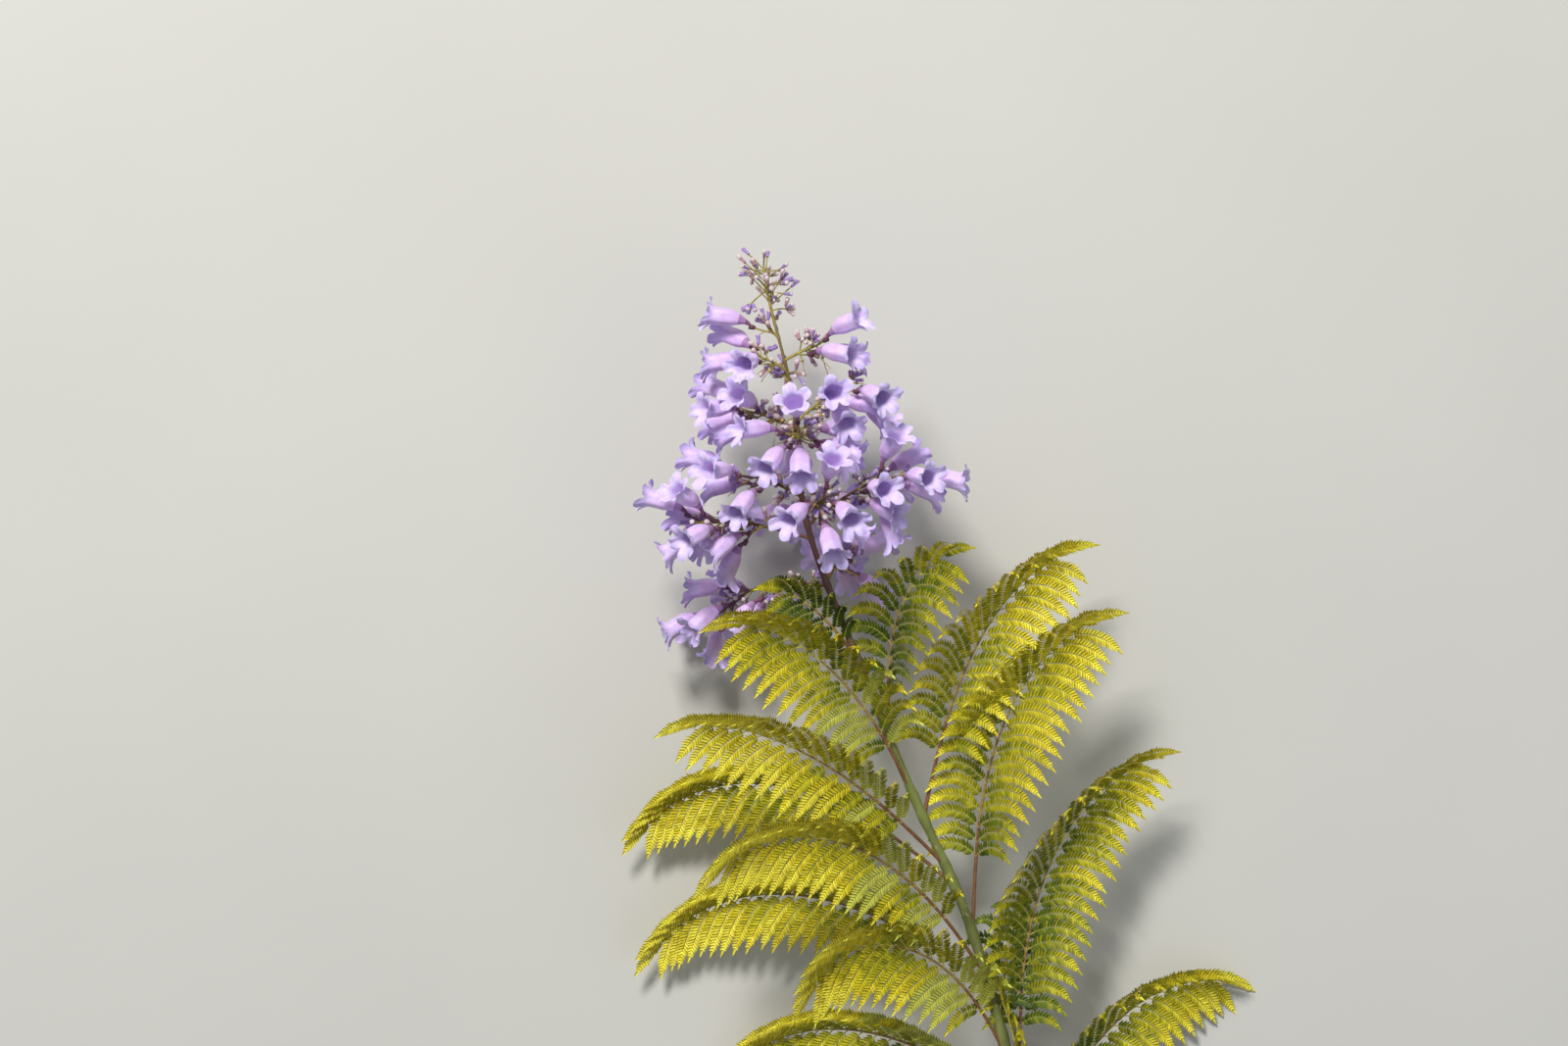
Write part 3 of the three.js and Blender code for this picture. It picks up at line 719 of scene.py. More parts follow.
class Sprays:
    """Leaflets of one tint, in rows of a foot, a heading, a cross direction, a face, a length, a
    width, and the side of the rib, which says which half is the rear one."""

    def __init__(self):
        self.rows = []

    def add(self, foot, heading, across, length, width, side):
        face = np.cross(heading, across)
        self.rows.append(np.concatenate([foot, heading, across, face, [length, width, side]]))

    def fill(self, heap):
        """Adds every leaflet: the points of its middle line, and its right and left edge."""
        rows = np.array(self.rows)
        foot, heading, across, face = (rows[:, None, 3 * i : 3 * i + 3] for i in range(4))
        length, width = rows[:, None, 12:13], rows[:, None, 13:14]
        places = [(s, 0, 0) for s, _, _ in LEAFLET_STATIONS]
        inner = LEAFLET_STATIONS[1:-1]
        places += [(s, w, h) for s, w, h in inner] + [(s, -w, h) for s, w, h in inner]
        s, w, h = (np.array(column)[None, :, None] for column in zip(*places))
        points = foot + heading * s * length + across * w * width
        points = points + face * (h * width - LEAFLET_CURL * s**2 * length)
        middle, right, left = [0, 1, 2, 3, 4], [5, 6, 7], [8, 9, 10]
        threes = [(0, right[0], 1), (3, right[2], 4), (0, 1, left[0]), (3, 4, left[2])]
        fours = [(middle[i + 1], right[i], right[i + 1], middle[i + 2]) for i in range(2)]
        fours += [(middle[i + 1], middle[i + 2], left[i + 1], left[i]) for i in range(2)]
        starts = len(places) * np.arange(len(rows))[:, None, None]
        corners = (starts + np.array(fours)).reshape(-1, 4)
        tips = (starts + np.array(threes)).reshape(-1, 3)
        points = points.reshape(-1, 3)
        # Each leaflet's rear half takes the darker paint: painted shade of the half folded away from the
        # light
        rear = np.array([[0, 0, 1, 1], [1, 1, 0, 0]])[(rows[:, 14] < 0).astype(int)]
        heap.add(points, corners, rear.ravel())
        # The points are in the heap by now, so the tips' faces count back to them
        heap.add(points[:0], tips - len(points), rear[:, [0, 0, 2, 2]].ravel())


def tint_name(amount):
    return SUN_TINTS[min(len(SUN_TINTS) - 1, max(0, int(amount * len(SUN_TINTS))))]


def leaflet_size(share):
    """Full in the middle of the rib, smaller at its base and tip."""
    return min(1, BASE_SIZE + BASE_GROWTH * share) * min(1, TIP_SIZE + TIP_GROWTH * (1 - share))


def grow_pinna(line, normal, size, sprays, amount, random):
    """Leaflets in a close comb on both sides of a pinna's rib, and one at its end; amount is how
    golden the pinna is, partly its gold colour and partly painted sun and shade, or None where it is
    a pale one."""
    tangents = tangents_of(line)
    wide = PINNA_HALF_WIDTH * min(1, lerp(LEAST_WIDTH, 1, size / WIDE_FROM))
    count = max(LEAST_LEAFLETS, round(size / LEAFLET_SPACING))
    angle = math.radians(LEAFLET_ANGLE)
    for i in range(count):
        share = lerp(*COMB_SPAN, (i + 0.5) / count)
        point, tangent = path_at(line, tangents, share)
        side = unit(np.cross(tangent, normal))
        face = np.cross(side, tangent)
        full = wide * leaflet_size(share)
        for sign in (1, -1):
            lean = angle + stray(random, LEAN_STRAY) - LEAN_LOSS * share**3
            heading = tangent * math.cos(lean) + side * sign * math.sin(lean)
            heading = unit(heading + face * (LEAFLET_FOLD + stray(random, FOLD_STRAY)))
            across = unit(np.cross(face, heading))
            length = full * (LEAFLET_REACH + stray(random, REACH_STRAY)) / math.sin(angle)
            name = "pale"
            if amount is not None:
                # Painted shade on leaflets near the pinna's base, painted sun towards its tip
                sun_and_gold_gain = PINNA_SHADE_TO_SUN * (share - 0.5)
                name = tint_name(amount + sun_and_gold_gain + stray(random, LEAFLET_TINT_STRAY))
            sprays[name].add(point, heading, across, length, LEAFLET_WIDTH, sign)
    point, tangent = path_at(line, tangents, COMB_SPAN[1])
    side = unit(np.cross(tangent, normal))
    # The leaflet at the end is a step more golden: painted sun, as at the pinna's tip
    name = "pale" if amount is None else tint_name(amount + END_SUN_AND_GOLD_GAIN)
    sprays[name].add(point, tangent, -side, END_LENGTH * wide, END_WIDTH * LEAFLET_WIDTH, 1)


def add_rachis(ribs, line, length):
    """A leaf's rachis, thicker at its foot, in three colours along it."""
    shares = np.linspace(0, 1, RACHIS_RINGS)
    radii = lerp(RACHIS_BASE_RADIUS, RACHIS_TIP_RADIUS, shares)
    radii = radii * (1 + RACHIS_SWELLING * np.exp(-((shares * length / SWELLING_REACH) ** 2)))
    add_tube(ribs, line, radii, RACHIS_SIDES, np.digitize(shares[:-1], RACHIS_BANDS))


def add_joint(ribs, point, tangent, share):
    """The swelling of the rachis where a pinna leaves it."""
    joint = np.array([point + tangent * JOINT_HALF_LENGTH * step for step in (-1, 0, 1)])
    swollen = JOINT_SWELLING * lerp(RACHIS_BASE_RADIUS, RACHIS_TIP_RADIUS, share)
    add_tube(ribs, joint, [JOINT_END_RADIUS, swollen, JOINT_END_RADIUS], RACHIS_SIDES, JOINT_PAINT)


def is_pale(leaf, line, size, place, random):
    """Whether a pinna is one of the pale ones; only where it may be is a chance number drawn."""
    nears = line[-1][2] - line[0][2] > PALE_REACH * size
    on_left = leaf.turns[0] > 90
    sunlit = leaf.golden > PALE_SUN_AND_GOLD
    return nears and on_left and sunlit and place < PALE_BELOW and random() < PALE_SHARE


def grow_leaf(leaf, k, sprays, ribs):
    """A leaf: its rachis, and pinnae in pairs with their ribs and leaflets."""
    random = chance(LEAF_SEEDS + k)
    line = smooth(rachis_line(leaf), RACHIS_RINGS)
    tangents = tangents_of(line)
    add_rachis(ribs, line, leaf.length)
    pairs = max(LEAST_PAIRS, round(leaf.length * (1 - PETIOLE_SHARE) / PINNA_SPACING))
    arms = [(lerp(PETIOLE_SHARE, 1, i / pairs), sign) for i in range(pairs) for sign in (1, -1)]
    for share, sign in [*arms, (1, 0)]:
        place = (share - PETIOLE_SHARE) / (1 - PETIOLE_SHARE)
        point, tangent = path_at(line, tangents, share)
        normal = leaf_face(tangent, lerp(*leaf.turns, share), lerp(*leaf.rolls, share))
        aside = np.cross(tangent, normal) * sign if sign else tangent
        size = leaf.longest * pinna_share(place) * lerp(*PINNA_LENGTHS, random())
        middle = pinna_line(point, tangent, normal, aside, size, place)
        # Painted shade towards the leaf's base and painted sun towards its tip, on top of its gold colour
        sun_and_gold_gain = LEAF_SUN_AND_GOLD_GAIN * (place - SUN_AND_GOLD_MIDDLE)
        amount = leaf.golden + sun_and_gold_gain + stray(random, PINNA_TINT_STRAY)
        if is_pale(leaf, middle, size, place, random):
            amount = None
        grow_pinna(middle, normal, size, sprays, amount, random)
        add_tube(ribs, middle, np.linspace(*RIB_RADII, len(middle)), RIB_SIDES, PINNA_RIB_PAINT)
        if sign:
            add_joint(ribs, point, tangent, share)


def leaflet_paints(name):
    """A tint's paints: the one of a leaflet's front half, and the darker one of its rear half, whose
    darkness is painted shade.
    """
    paints = []
    for suffix, share in (("", 1), ("_rear_shade", REAR_SHARE)):
        colour = [share * c for c in TINTS[name]]
        paint = mottled(f"leaflet_{name}{suffix}", colour, 0.2, 120, 0.5, glow=0.1)
        shader_of(paint).inputs["Specular IOR Level"].default_value = LEAFLET_SPECULAR
        paints.append(paint)
    return paints


def leaf_pieces():
    """All leaves as joined meshes: the ribs in one, and the leaflets in one for each tint."""
    sprays = {name: Sprays() for name in TINTS}
    ribs = Heap()
    for k, leaf in enumerate(LEAVES):
        grow_leaf(leaf, k, sprays, ribs)
    rib_paints = [mottled(name, colour, spread, 300, 0.5) for name, colour, spread in RIB_PAINTS]
    pieces = [ribs.mesh("leaf_ribs", rib_paints)]
    for name, spray in sprays.items():
        heap = Heap()
        spray.fill(heap)
        piece = heap.mesh(f"leaflets_{name}", leaflet_paints(name))
        pieces.append(piece)
    return pieces


# Blossoms

# The petals' tube: its length, its radii, where it starts to swell and over what length, its rings
TUBE_LENGTH = 31
TUBE_RADII = (1.6, 7.9)
TUBE_SWELL = (2, 19)
TUBE_RINGS = 12
# The depth of the creases between the lobes, and the height of the mouth and of the lobes' tips as
# a share of their width
CREASE = 0.05
MOUTH_HEIGHT = 0.86
LOBES_HEIGHT = 0.96
# The arch of the tube as a share of TUBE_BEND, and the power that brings its top over the throat
ARCH_SHARE = 1.15
ARCH_SKEW = 0.576

# The lobes: rings, cells across each one, length, the share of it down to which the notches between
# them reach, the share of their width that is left at the tip, the powers that round their outline
LOBE_RINGS = 6
LOBE_CELLS = 10
LOBE_LENGTH = 10.5
LOBE_NOTCH = 0.3
LOBE_TAPER = 0.87
LOBE_ROUNDNESS = (2.4, 0.6)
# How far they turn outwards, in degrees: at the mouth, then at the tips of the lower and upper ones
MOUTH_FLARE = 14
LOBE_BENDS = (58, 96)
# Ruffles: the height and the waves of the two over a whole lobe, how these grow towards its tip,
# and the one at its sides
RUFFLES = [(1.0, 2.4), (0.9, 6.5)]
RUFFLE_GROWTH = 1.4
SIDE_RUFFLE = (0.9, 9)
# What chance changes: a blossom's length, how far its lobes spread, a lobe's length and its bend
BLOSSOM_STRETCHES = (0.95, 1.05)
LOBE_SPREADS = (0.85, 1.15)
LOBE_STRETCHES = (0.88, 1.12)
BEND_STRAY = 26

PETAL_THICKNESS = 0.35
# The ring of the tube at which the inner skin ends, and the cup behind it: the share of that ring's
# width that it has, and its depth
THROAT_RING = 2
CUP_SHARE = 0.25
CUP_DEPTH = 1.5

# Colours of the petals, from base to tip: name, colour, the ring of the skin from which it goes on
OUTSIDE_BANDS = [
    ("base", (0.2, 0.07, 0.16), 0),
    ("waist", (0.42, 0.23, 0.5), 2),
    ("belly", (0.7, 0.5, 0.87), 4),
    ("mouth", (0.7, 0.55, 0.94), TUBE_RINGS - 3),
    ("lobe", (0.66, 0.54, 0.97), TUBE_RINGS + 1),
]
INSIDE_BANDS = [
    ("throat", (0.76, 0.61, 0.95), 0),
    ("lip", (0.74, 0.62, 0.97), TUBE_RINGS - THROAT_RING - 1),
    ("petal", (0.67, 0.56, 0.98), TUBE_RINGS - THROAT_RING + 3),
]

# A calyx's outline: place on the blossom's axis, radius, height of its teeth
CALYX_STATIONS = [
    (-3.3, 0.8, 0),
    (-2.5, 1.6, 0),
    (-1, 2.0, 0),
    (0.4, 2.05, 0),
    (1.2, 2.15, 0.8),
]

# Paints of the stalks: name, colour, waves a metre, roughness
STALK_PAINTS = [
    ("branchlet", (0.16, 0.08, 0.035), 250, 0.5),
    ("calyx", (0.13, 0.05, 0.085), 400, 0.5),
    ("stalk", (0.32, 0.27, 0.06), 250, 0.5),
    ("thread", (0.42, 0.3, 0.09), 250, 0.6),
]
BRANCHLET, CALYX, STALK, THREAD = range(len(STALK_PAINTS))


def tube_bend(z):
    """How far the tube's middle strays from the axis, as in the solids."""
    if z < 0:
        return 0
    if z < THROAT_DEPTH:
        return TUBE_BEND * z / THROAT_DEPTH
    return TUBE_BEND * (LOBE_REACH - z) / (LOBE_REACH - THROAT_DEPTH)


def blossom_axes(aim):
    """A blossom's right, up and onward directions."""
    up = vec(0, 1, 0) - aim * aim[1]
    if np.linalg.norm(up) < TOO_ALIGNED:
        up = vec(0, 0, 1) - aim * aim[2]
    up = unit(up)
    return np.cross(up, aim), up, aim


def blossom_balls(base, aim):
    right, up, _ = blossom_axes(aim)
    balls = [[*(base + up * tube_bend(z) + aim * z), r] for z, r in TUBE_BALLS]
    for i in range(LOBES):
        for aside, out, z, radius in LOBE_BALLS:
            angle = 2 * math.pi * (i + 0.5) / LOBES + aside
            x, y = out * math.cos(angle), out * math.sin(angle) + tube_bend(z)
            balls.append([*(base + right * x + up * y + aim * z), radius])
    return np.array(balls)


def grow_cyme(cyme, k):
    """One cyme: its branch, where its blossoms sit, and the stalks of its buds."""
    random = chance(CYME_SEEDS + k)
    line = limb(stem_at(cyme.height), (cyme.turn, cyme.turn), cyme.rises, cyme.length, CYME_STEPS)
    taken.append(beads_along(line, CYME_RADIUS + CLEARANCE))
    sites = []
    for i in range(cyme.blossoms):
        for _ in range(BLOSSOM_TRIES):
            share = lerp(BLOSSOM_FROM, 1, (i + random()) / cyme.blossoms)
            swing = (i * GOLDEN + BLOSSOM_STRAY * random() + BLOSSOM_START) % 1 - 0.5
            rise = cyme.aim_rise + stray(random, cyme.fan_rise)
            aim = direction(cyme.turn + cyme.fan_turn * swing, rise)
            reach = lerp(*PEDICEL_LENGTHS, random())
            point = along(line, share)
            base = point + aim * (reach + CALYX_LENGTH + CLEARANCE)
            foot = lerp(point, base, STALK_FREE_FROM)
            balls = np.concatenate([blossom_balls(base, aim), beads(foot, base, CALYX_RADIUS)])
            if is_free(balls):
                taken.append(balls)
                sites.append((point, base, aim))
                break
    stalks = []
    for i in range(cyme.buds):
        point = along(line, lerp(BUDS_FROM, 1, (i + 1) / cyme.buds))
        swing = (BUD_FAN + cyme.fan_turn) * ((i * GOLDEN) % 1 - 0.5)
        rise = cyme.aim_rise + BUD_RISE + stray(random, BUD_RISE_FAN)
        aim = direction(cyme.turn + swing, rise)
        foot = point + aim * cyme.bud_stalk * lerp(*BUD_STALK_SHARES, random())
        tip = foot + aim * lerp(*BUD_LENGTHS, random())
        start = lerp(point, foot, STALK_FREE_FROM)
        balls = np.concatenate([beads(start, foot, PEDICEL_RADIUS), beads(foot, tip, BUD_RADIUS)])
        if is_free(balls):
            taken.append(balls)
            stalks.append((point, foot, tip))
    return line, sites, stalks


def creased(amount, angles):
    """The share of its radius that a ring of petals has, less between the lobes."""
    return 1 + CREASE * amount * np.cos(LOBES * (angles - math.pi / LOBES))


def tube_rings(angles):
    """Rings of the petals' tube, which swells from its base to a flattened mouth."""
    rings = []
    for k in range(TUBE_RINGS):
        z = TUBE_LENGTH * k / (TUBE_RINGS - 1)
        t = min(1, max(0, (z - TUBE_SWELL[0]) / TUBE_SWELL[1]))
        radius = lerp(*TUBE_RADII, t * t * (3 - 2 * t)) * creased(t, angles)
        x = radius * np.cos(angles)
        y = radius * lerp(1, MOUTH_HEIGHT, t) * np.sin(angles)
        rings.append(np.stack([x, y, np.full(len(angles), z)], axis=1))
    return rings


def ruffle_of(u, across, wave):
    """How far a lobe's skin is off its smooth path, at u of its length and across its width."""
    whole = sum(h * np.sin(n * across + wave[:, i]) for i, (h, n) in enumerate(RUFFLES))
    height, waves = SIDE_RUFFLE
    sides = height * u**2 * np.abs(across) * np.sin(waves * across + wave[:, -1])
    return u**RUFFLE_GROWTH * whole + sides


def lobe_rings(angles, spread, waves, lengths, strays):
    """Rings of the lobes, whose headings turn outwards evenly from the tube's mouth."""
    columns = np.arange(len(angles))
    lobe = columns // LOBE_CELLS
    across = 2 * (columns % LOBE_CELLS) / LOBE_CELLS - 1
    middle = 2 * math.pi * (lobe + 0.5) / LOBES
    upper = 0.5 + 0.5 * np.sin(middle)
    bend = np.radians(lerp(*LOBE_BENDS, upper) * spread + np.array(strays)[lobe])
    flare = math.radians(MOUTH_FLARE)
    wave = np.array(waves)[lobe]
    length = np.array(lengths)[lobe]
    power, root = LOBE_ROUNDNESS
    whole = lerp(LOBE_NOTCH, 1, (1 - np.abs(across) ** power) ** root)
    rings = []
    for k in range(1, LOBE_RINGS + 1):
        u = whole * k / LOBE_RINGS
        turned = middle + across * (math.pi / LOBES) * lerp(1, LOBE_TAPER, u)
        heading = lerp(flare, bend, u)
        run = length * u * np.sinc((heading - flare) / 2 / math.pi)
        out = run * np.sin((heading + flare) / 2)
        on = run * np.cos((heading + flare) / 2)
        ruffle = ruffle_of(u, across, wave)
        radius = (TUBE_RADII[1] + out - ruffle * np.cos(heading)) * creased(1 - u, angles)
        x = radius * np.cos(turned)
        y = radius * lerp(MOUTH_HEIGHT, LOBES_HEIGHT, u) * np.sin(turned)
        rings.append(np.stack([x, y, TUBE_LENGTH + on + ruffle * np.sin(heading)], axis=1))
    return rings


def petal_grid(random):
    """A blossom's skin in its own frame: rings of right, up and onward, from base to lobe tips."""
    stretch = lerp(*BLOSSOM_STRETCHES, random())
    spread = lerp(*LOBE_SPREADS, random())
    waves = [[2 * math.pi * random() for _ in range(len(RUFFLES) + 1)] for _ in range(LOBES)]
    lengths = [LOBE_LENGTH * lerp(*LOBE_STRETCHES, random()) for _ in range(LOBES)]
    strays = [stray(random, BEND_STRAY) for _ in range(LOBES)]
    angles = full_circle(LOBES * LOBE_CELLS)
    grid = np.array(tube_rings(angles) + lobe_rings(angles, spread, waves, lengths, strays))
    grid[..., 2] *= stretch
    return grid


def bent(grid):
    """The grid with the tube's gentle arch."""
    share = np.clip(grid[..., 2] / LOBE_REACH, 0, 1)
    grid = grid.copy()
    grid[..., 1] += ARCH_SHARE * TUBE_BEND * np.sin(math.pi * share**ARCH_SKEW)
    return grid


def normals_of(grid):
    """Outward directions of a grid of closed rings."""
    round_about = np.roll(grid, -1, axis=1) - np.roll(grid, 1, axis=1)
    ends = np.concatenate([grid[:1], grid, grid[-1:]])
    onward = ends[2:] - ends[:-2]
    return unit(np.cross(round_about, onward))


def cupped(rings):
    """Inner rings, and one more behind them that draws the throat together."""
    middle = rings[:1].mean(axis=1, keepdims=True)
    return np.concatenate([lerp(middle, rings[:1], CUP_SHARE) - vec(0, 0, CUP_DEPTH), rings])


def add_skin(heap, rings, base, axes, bands, inward):
    """A skin over a blossom's rings, in bands of colour, that faces outward or inward."""
    count, columns = rings.shape[:2]
    band = np.digitize(np.arange(count - 1), [first for _, _, first in bands[1:]])
    faces = grid_faces(count, columns)
    if inward:
        faces = faces[:, ::-1]
    heap.add((base + rings @ axes).reshape(-1, 3), faces, np.repeat(band, columns))


def add_blossom(head, base, aim, random):
    """The outer and inner skins of one blossom's petals."""
    axes = np.array(blossom_axes(aim))
    grid = bent(petal_grid(random))
    inner = (grid - normals_of(grid) * PETAL_THICKNESS)[THROAT_RING:]
    inner[-1] = grid[-1]
    add_skin(head.outsides, grid, base, axes, OUTSIDE_BANDS, False)
    add_skin(head.insides, cupped(inner), base, axes, INSIDE_BANDS, True)


def add_calyx(stalks, base, aim):
    """A small cup with five short teeth, round the foot of a blossom."""
    right, up, onward = blossom_axes(aim)
    angles = full_circle(2 * LOBES)[:, None]
    rings = []
    for z, radius, tooth in CALYX_STATIONS:
        ring = base + radius * (np.cos(angles) * right + np.sin(angles) * up)
        rings.append(ring + (z + tooth * np.cos(LOBES * angles)) * onward)
    add_rings(stalks, np.array(rings), CALYX)


# Buds and stalks

# Paints of the buds: name, colour, sheen
BUD_PAINTS = [
    ("bud_cup", (0.15, 0.06, 0.1), 0.0),
    ("bud_body", (0.32, 0.21, 0.52), 0.2),
    ("bud_tip", (0.66, 0.55, 0.56), 0.2),
    ("bud_young", (0.42, 0.24, 0.27), 0.2),
]
CUP, BODY, TIP, YOUNG = range(len(BUD_PAINTS))

# A bud's outline: share of its length, share of its radius
BUD_STATIONS = [
    (0, 0.3),
    (0.07, 0.62),
    (0.22, 0.66),
    (0.4, 0.7),
    (0.62, 0.88),
    (0.84, 1),
    (0.95, 0.84),
    (1, 0.4),
]
# The paints between those, of a dark and of a pale bud
DARK_BUD = (CUP, BODY, BODY, BODY, BODY, TIP, TIP)
PALE_BUD = (CUP, YOUNG, YOUNG, YOUNG, TIP, TIP, TIP)
BUD_SIDES = 8

# A single bud: the share of BUD_RADIUS that it has, how many are pale, its stalk
BUD_SLIMNESS = 0.95
PALE_SINGLES = 0.35
BUD_STALK_RADIUS = 0.6
BUD_STALK_SAG = vec(0, 0.5, 0)

# Where a branch's clusters of buds point: its turn, the fan of the blossoms, their middle rise; and
# the bud stalk that the length of theirs follows
Fan = namedtuple("Fan", "turn fan_turn aim_rise bud_stalk")

# Clusters: tries for each, the share of the branch from which on they grow, what their fan and rise
# have more than the blossoms' ones, their stalk up to its fork with the share of a bud stalk that
# chance may add, the share of it from which it has to be free
CLUSTER_TRIES = 12
CLUSTERS_FROM = 0.15
CLUSTER_FAN = 80
CLUSTER_RISE = 20
CLUSTER_RISE_FAN = 120
FORK_LENGTH = 4
FORK_SHARE = 0.6
FORK_FREE_FROM = 0.5
FORK_RADIUS = 0.65
FORK_SAG = vec(0, 0.6, 0)
# The buds at a fork: at most how many, tries, how far they spread, their sizes, the share of
# BUD_RADIUS that has to be free, their stalks, how many are pale
FORK_BUDS = 4
FORK_TRIES = 12
FORK_SPREAD = 0.9
FORK_BUD_STALKS = (1.5, 4)
FORK_BUD_LENGTHS = (6, 10)
FORK_BUD_RADII = (1.5, 2.2)
FORK_BUD_ROOM = 0.7
FORK_STALK_RADIUS = 0.5
FORK_STALK_SAG = 0.4
PALE_IN_CLUSTERS = 0.45

# Spent stalks: the share of the branch from which on they grow, the fan of their turn and rise, how
# far they point down, their length and that of the thread, how far it may hang, sag and rise, the
# share of the whole from which it has to be free, and the room that the thread keeps
SPENT_FROM = 0.2
SPENT_FAN = 150
SPENT_RISE_FAN = 80
SPENT_DROP = 10
SPENT_LENGTHS = (6, 11)
THREAD_LENGTHS = (8, 17)
THREAD_HANG = vec(0, -0.7, 0)
THREAD_SAG = 2.5
THREAD_RISE = 30
THREAD_RADIUS = 0.3
SPENT_FREE_FROM = 0.4
THREAD_ROOM = 0.5
# The disc at a spent stalk's end: its start, middle and end along the stalk, and the radii there
DISC_PLACES = (-1.2, 0, 1.4)
DISC_RADII = (0.6, 1.3, 1.2)

# The flower head: its seed, the rings and sides of a branch, the stalk of a blossom; branches lower
# on the stem than BROWN_BELOW are brown, the others yellow-green
HEAD_SEED = 77
CYME_RINGS = 13
CYME_SIDES = 8
PEDICEL_SAG = vec(0, -0.6, 0)
BROWN_BELOW = 530
# Clusters at the head's tip, and elsewhere the length of branch for each cluster and spent stalk
TIP_CLUSTERS = 9
CLUSTER_SPACING = 11
SPENT_SPACING = 8
# Clusters of buds straight on the stem, from this height on
UPPER_BUDS_FROM = 565
UPPER_CLUSTERS = 7
UPPER_FAN = Fan(90, 280, 10, 14)

Head = namedtuple("Head", "outsides insides stalks buds")


def add_stalk(stalks, start, end, sag, radius, paint, rings, sides=5):
    """A thin stalk between two points that sags to one side."""
    shares = np.linspace(0, 1, rings)[:, None]
    line = lerp(start, end, shares) + sag * np.sin(math.pi * shares)
    add_tube(stalks, line, [radius] * rings, sides, paint)


def add_bud(buds, foot, tip, radius, pale):
    """A club-shaped bud with a cup at its foot and a pale round tip."""
    line = np.array([lerp(foot, tip, s) for s, _ in BUD_STATIONS])
    radii = [radius * r for _, r in BUD_STATIONS]
    add_tube(buds, line, radii, BUD_SIDES, PALE_BUD if pale else DARK_BUD)


def grow_cluster(head, fork, aim, random):
    """The buds at the fork of a stalk; tells whether any found room."""
    placed = 0
    for _ in range(FORK_TRIES):
        if placed == FORK_BUDS:
            break
        heading = unit(aim + FORK_SPREAD * direction(360 * random(), 180 * random() - 90))
        foot = fork + heading * lerp(*FORK_BUD_STALKS, random())
        tip = foot + heading * lerp(*FORK_BUD_LENGTHS, random())
        balls = beads(foot, tip, FORK_BUD_ROOM * BUD_RADIUS)
        if not is_free(balls):
            continue
        taken.append(balls)
        add_stalk(head.stalks, fork, foot, aim * FORK_STALK_SAG, FORK_STALK_RADIUS, STALK, 4)
        add_bud(head.buds, foot, tip, lerp(*FORK_BUD_RADII, random()), random() < PALE_IN_CLUSTERS)
        placed += 1
    return placed > 0


def grow_side_buds(head, line, fan, random, wanted):
    """More clusters of buds on forked stalks where there is room."""
    made = 0
    for _ in range(wanted * CLUSTER_TRIES):
        if made == wanted:
            break
        point = along(line, lerp(CLUSTERS_FROM, 1, random()))
        turn = fan.turn + stray(random, fan.fan_turn + CLUSTER_FAN)
        aim = direction(turn, fan.aim_rise + CLUSTER_RISE + stray(random, CLUSTER_RISE_FAN))
        fork = point + aim * (FORK_LENGTH + FORK_SHARE * fan.bud_stalk * random())
        if not is_free(beads(lerp(point, fork, FORK_FREE_FROM), fork, PEDICEL_RADIUS)):
            continue
        if grow_cluster(head, fork, aim, random):
            made += 1
            add_stalk(head.stalks, point, fork, FORK_SAG, FORK_RADIUS, STALK, 5)


def grow_spent(stalks, line, turn, random, wanted):
    """Bare stalks that have dropped their blossoms, with the thread that stays on each."""
    for _ in range(wanted):
        point = along(line, lerp(SPENT_FROM, 1, random()))
        aim = direction(turn + stray(random, SPENT_FAN), stray(random, SPENT_RISE_FAN) - SPENT_DROP)
        foot = point + aim * lerp(*SPENT_LENGTHS, random())
        hanging = unit(aim + THREAD_HANG * random())
        end = foot + hanging * lerp(*THREAD_LENGTHS, random())
        if not is_free(beads(lerp(point, end, SPENT_FREE_FROM), end, THREAD_RADIUS)):
            continue
        taken.append(beads(foot, end, THREAD_ROOM))
        add_stalk(stalks, point, foot, BUD_STALK_SAG, BUD_STALK_RADIUS, STALK, 5)
        disc = np.array([foot + aim * place for place in DISC_PLACES])
        add_tube(stalks, disc, DISC_RADII, 6, THREAD)
        sag = direction(turn + 90, THREAD_RISE) * THREAD_SAG * random()
        add_stalk(stalks, foot, end, sag, THREAD_RADIUS, THREAD, 8, 4)


def dress_cyme(head, cyme, line, sites, bud_stalks, random):
    """One cyme's branch, blossoms and buds, with its spent stalks and more clusters of buds."""
    fine = smooth(line, CYME_RINGS)
    low = cyme.height < BROWN_BELOW
    radii = np.linspace(CYME_RADIUS, CYME_TIP_RADIUS, CYME_RINGS)
    add_tube(head.stalks, fine, radii, CYME_SIDES, BRANCHLET if low else STALK)
    for point, base, aim in sites:
        foot = base - aim * (CALYX_LENGTH + CLEARANCE)
        paint = CALYX if low else STALK
        add_stalk(head.stalks, point, foot, PEDICEL_SAG, PEDICEL_RADIUS, paint, 6, 6)
        add_calyx(head.stalks, base, aim)
        add_blossom(head, base, aim, random)
    for point, foot, tip in bud_stalks:
        add_stalk(head.stalks, point, foot, BUD_STALK_SAG, BUD_STALK_RADIUS, STALK, 6)
        add_bud(head.buds, foot, tip, BUD_SLIMNESS * BUD_RADIUS, random() < PALE_SINGLES)
    fan = Fan(cyme.turn, cyme.fan_turn, cyme.aim_rise, cyme.bud_stalk)
    if cyme.name == "cyme_tip":
        grow_side_buds(head, fine, fan, random, TIP_CLUSTERS)
    else:
        grow_side_buds(head, fine, fan, random, 1 + round(cyme.length / CLUSTER_SPACING))
        grow_spent(head.stalks, fine, cyme.turn, random, round(cyme.length / SPENT_SPACING))


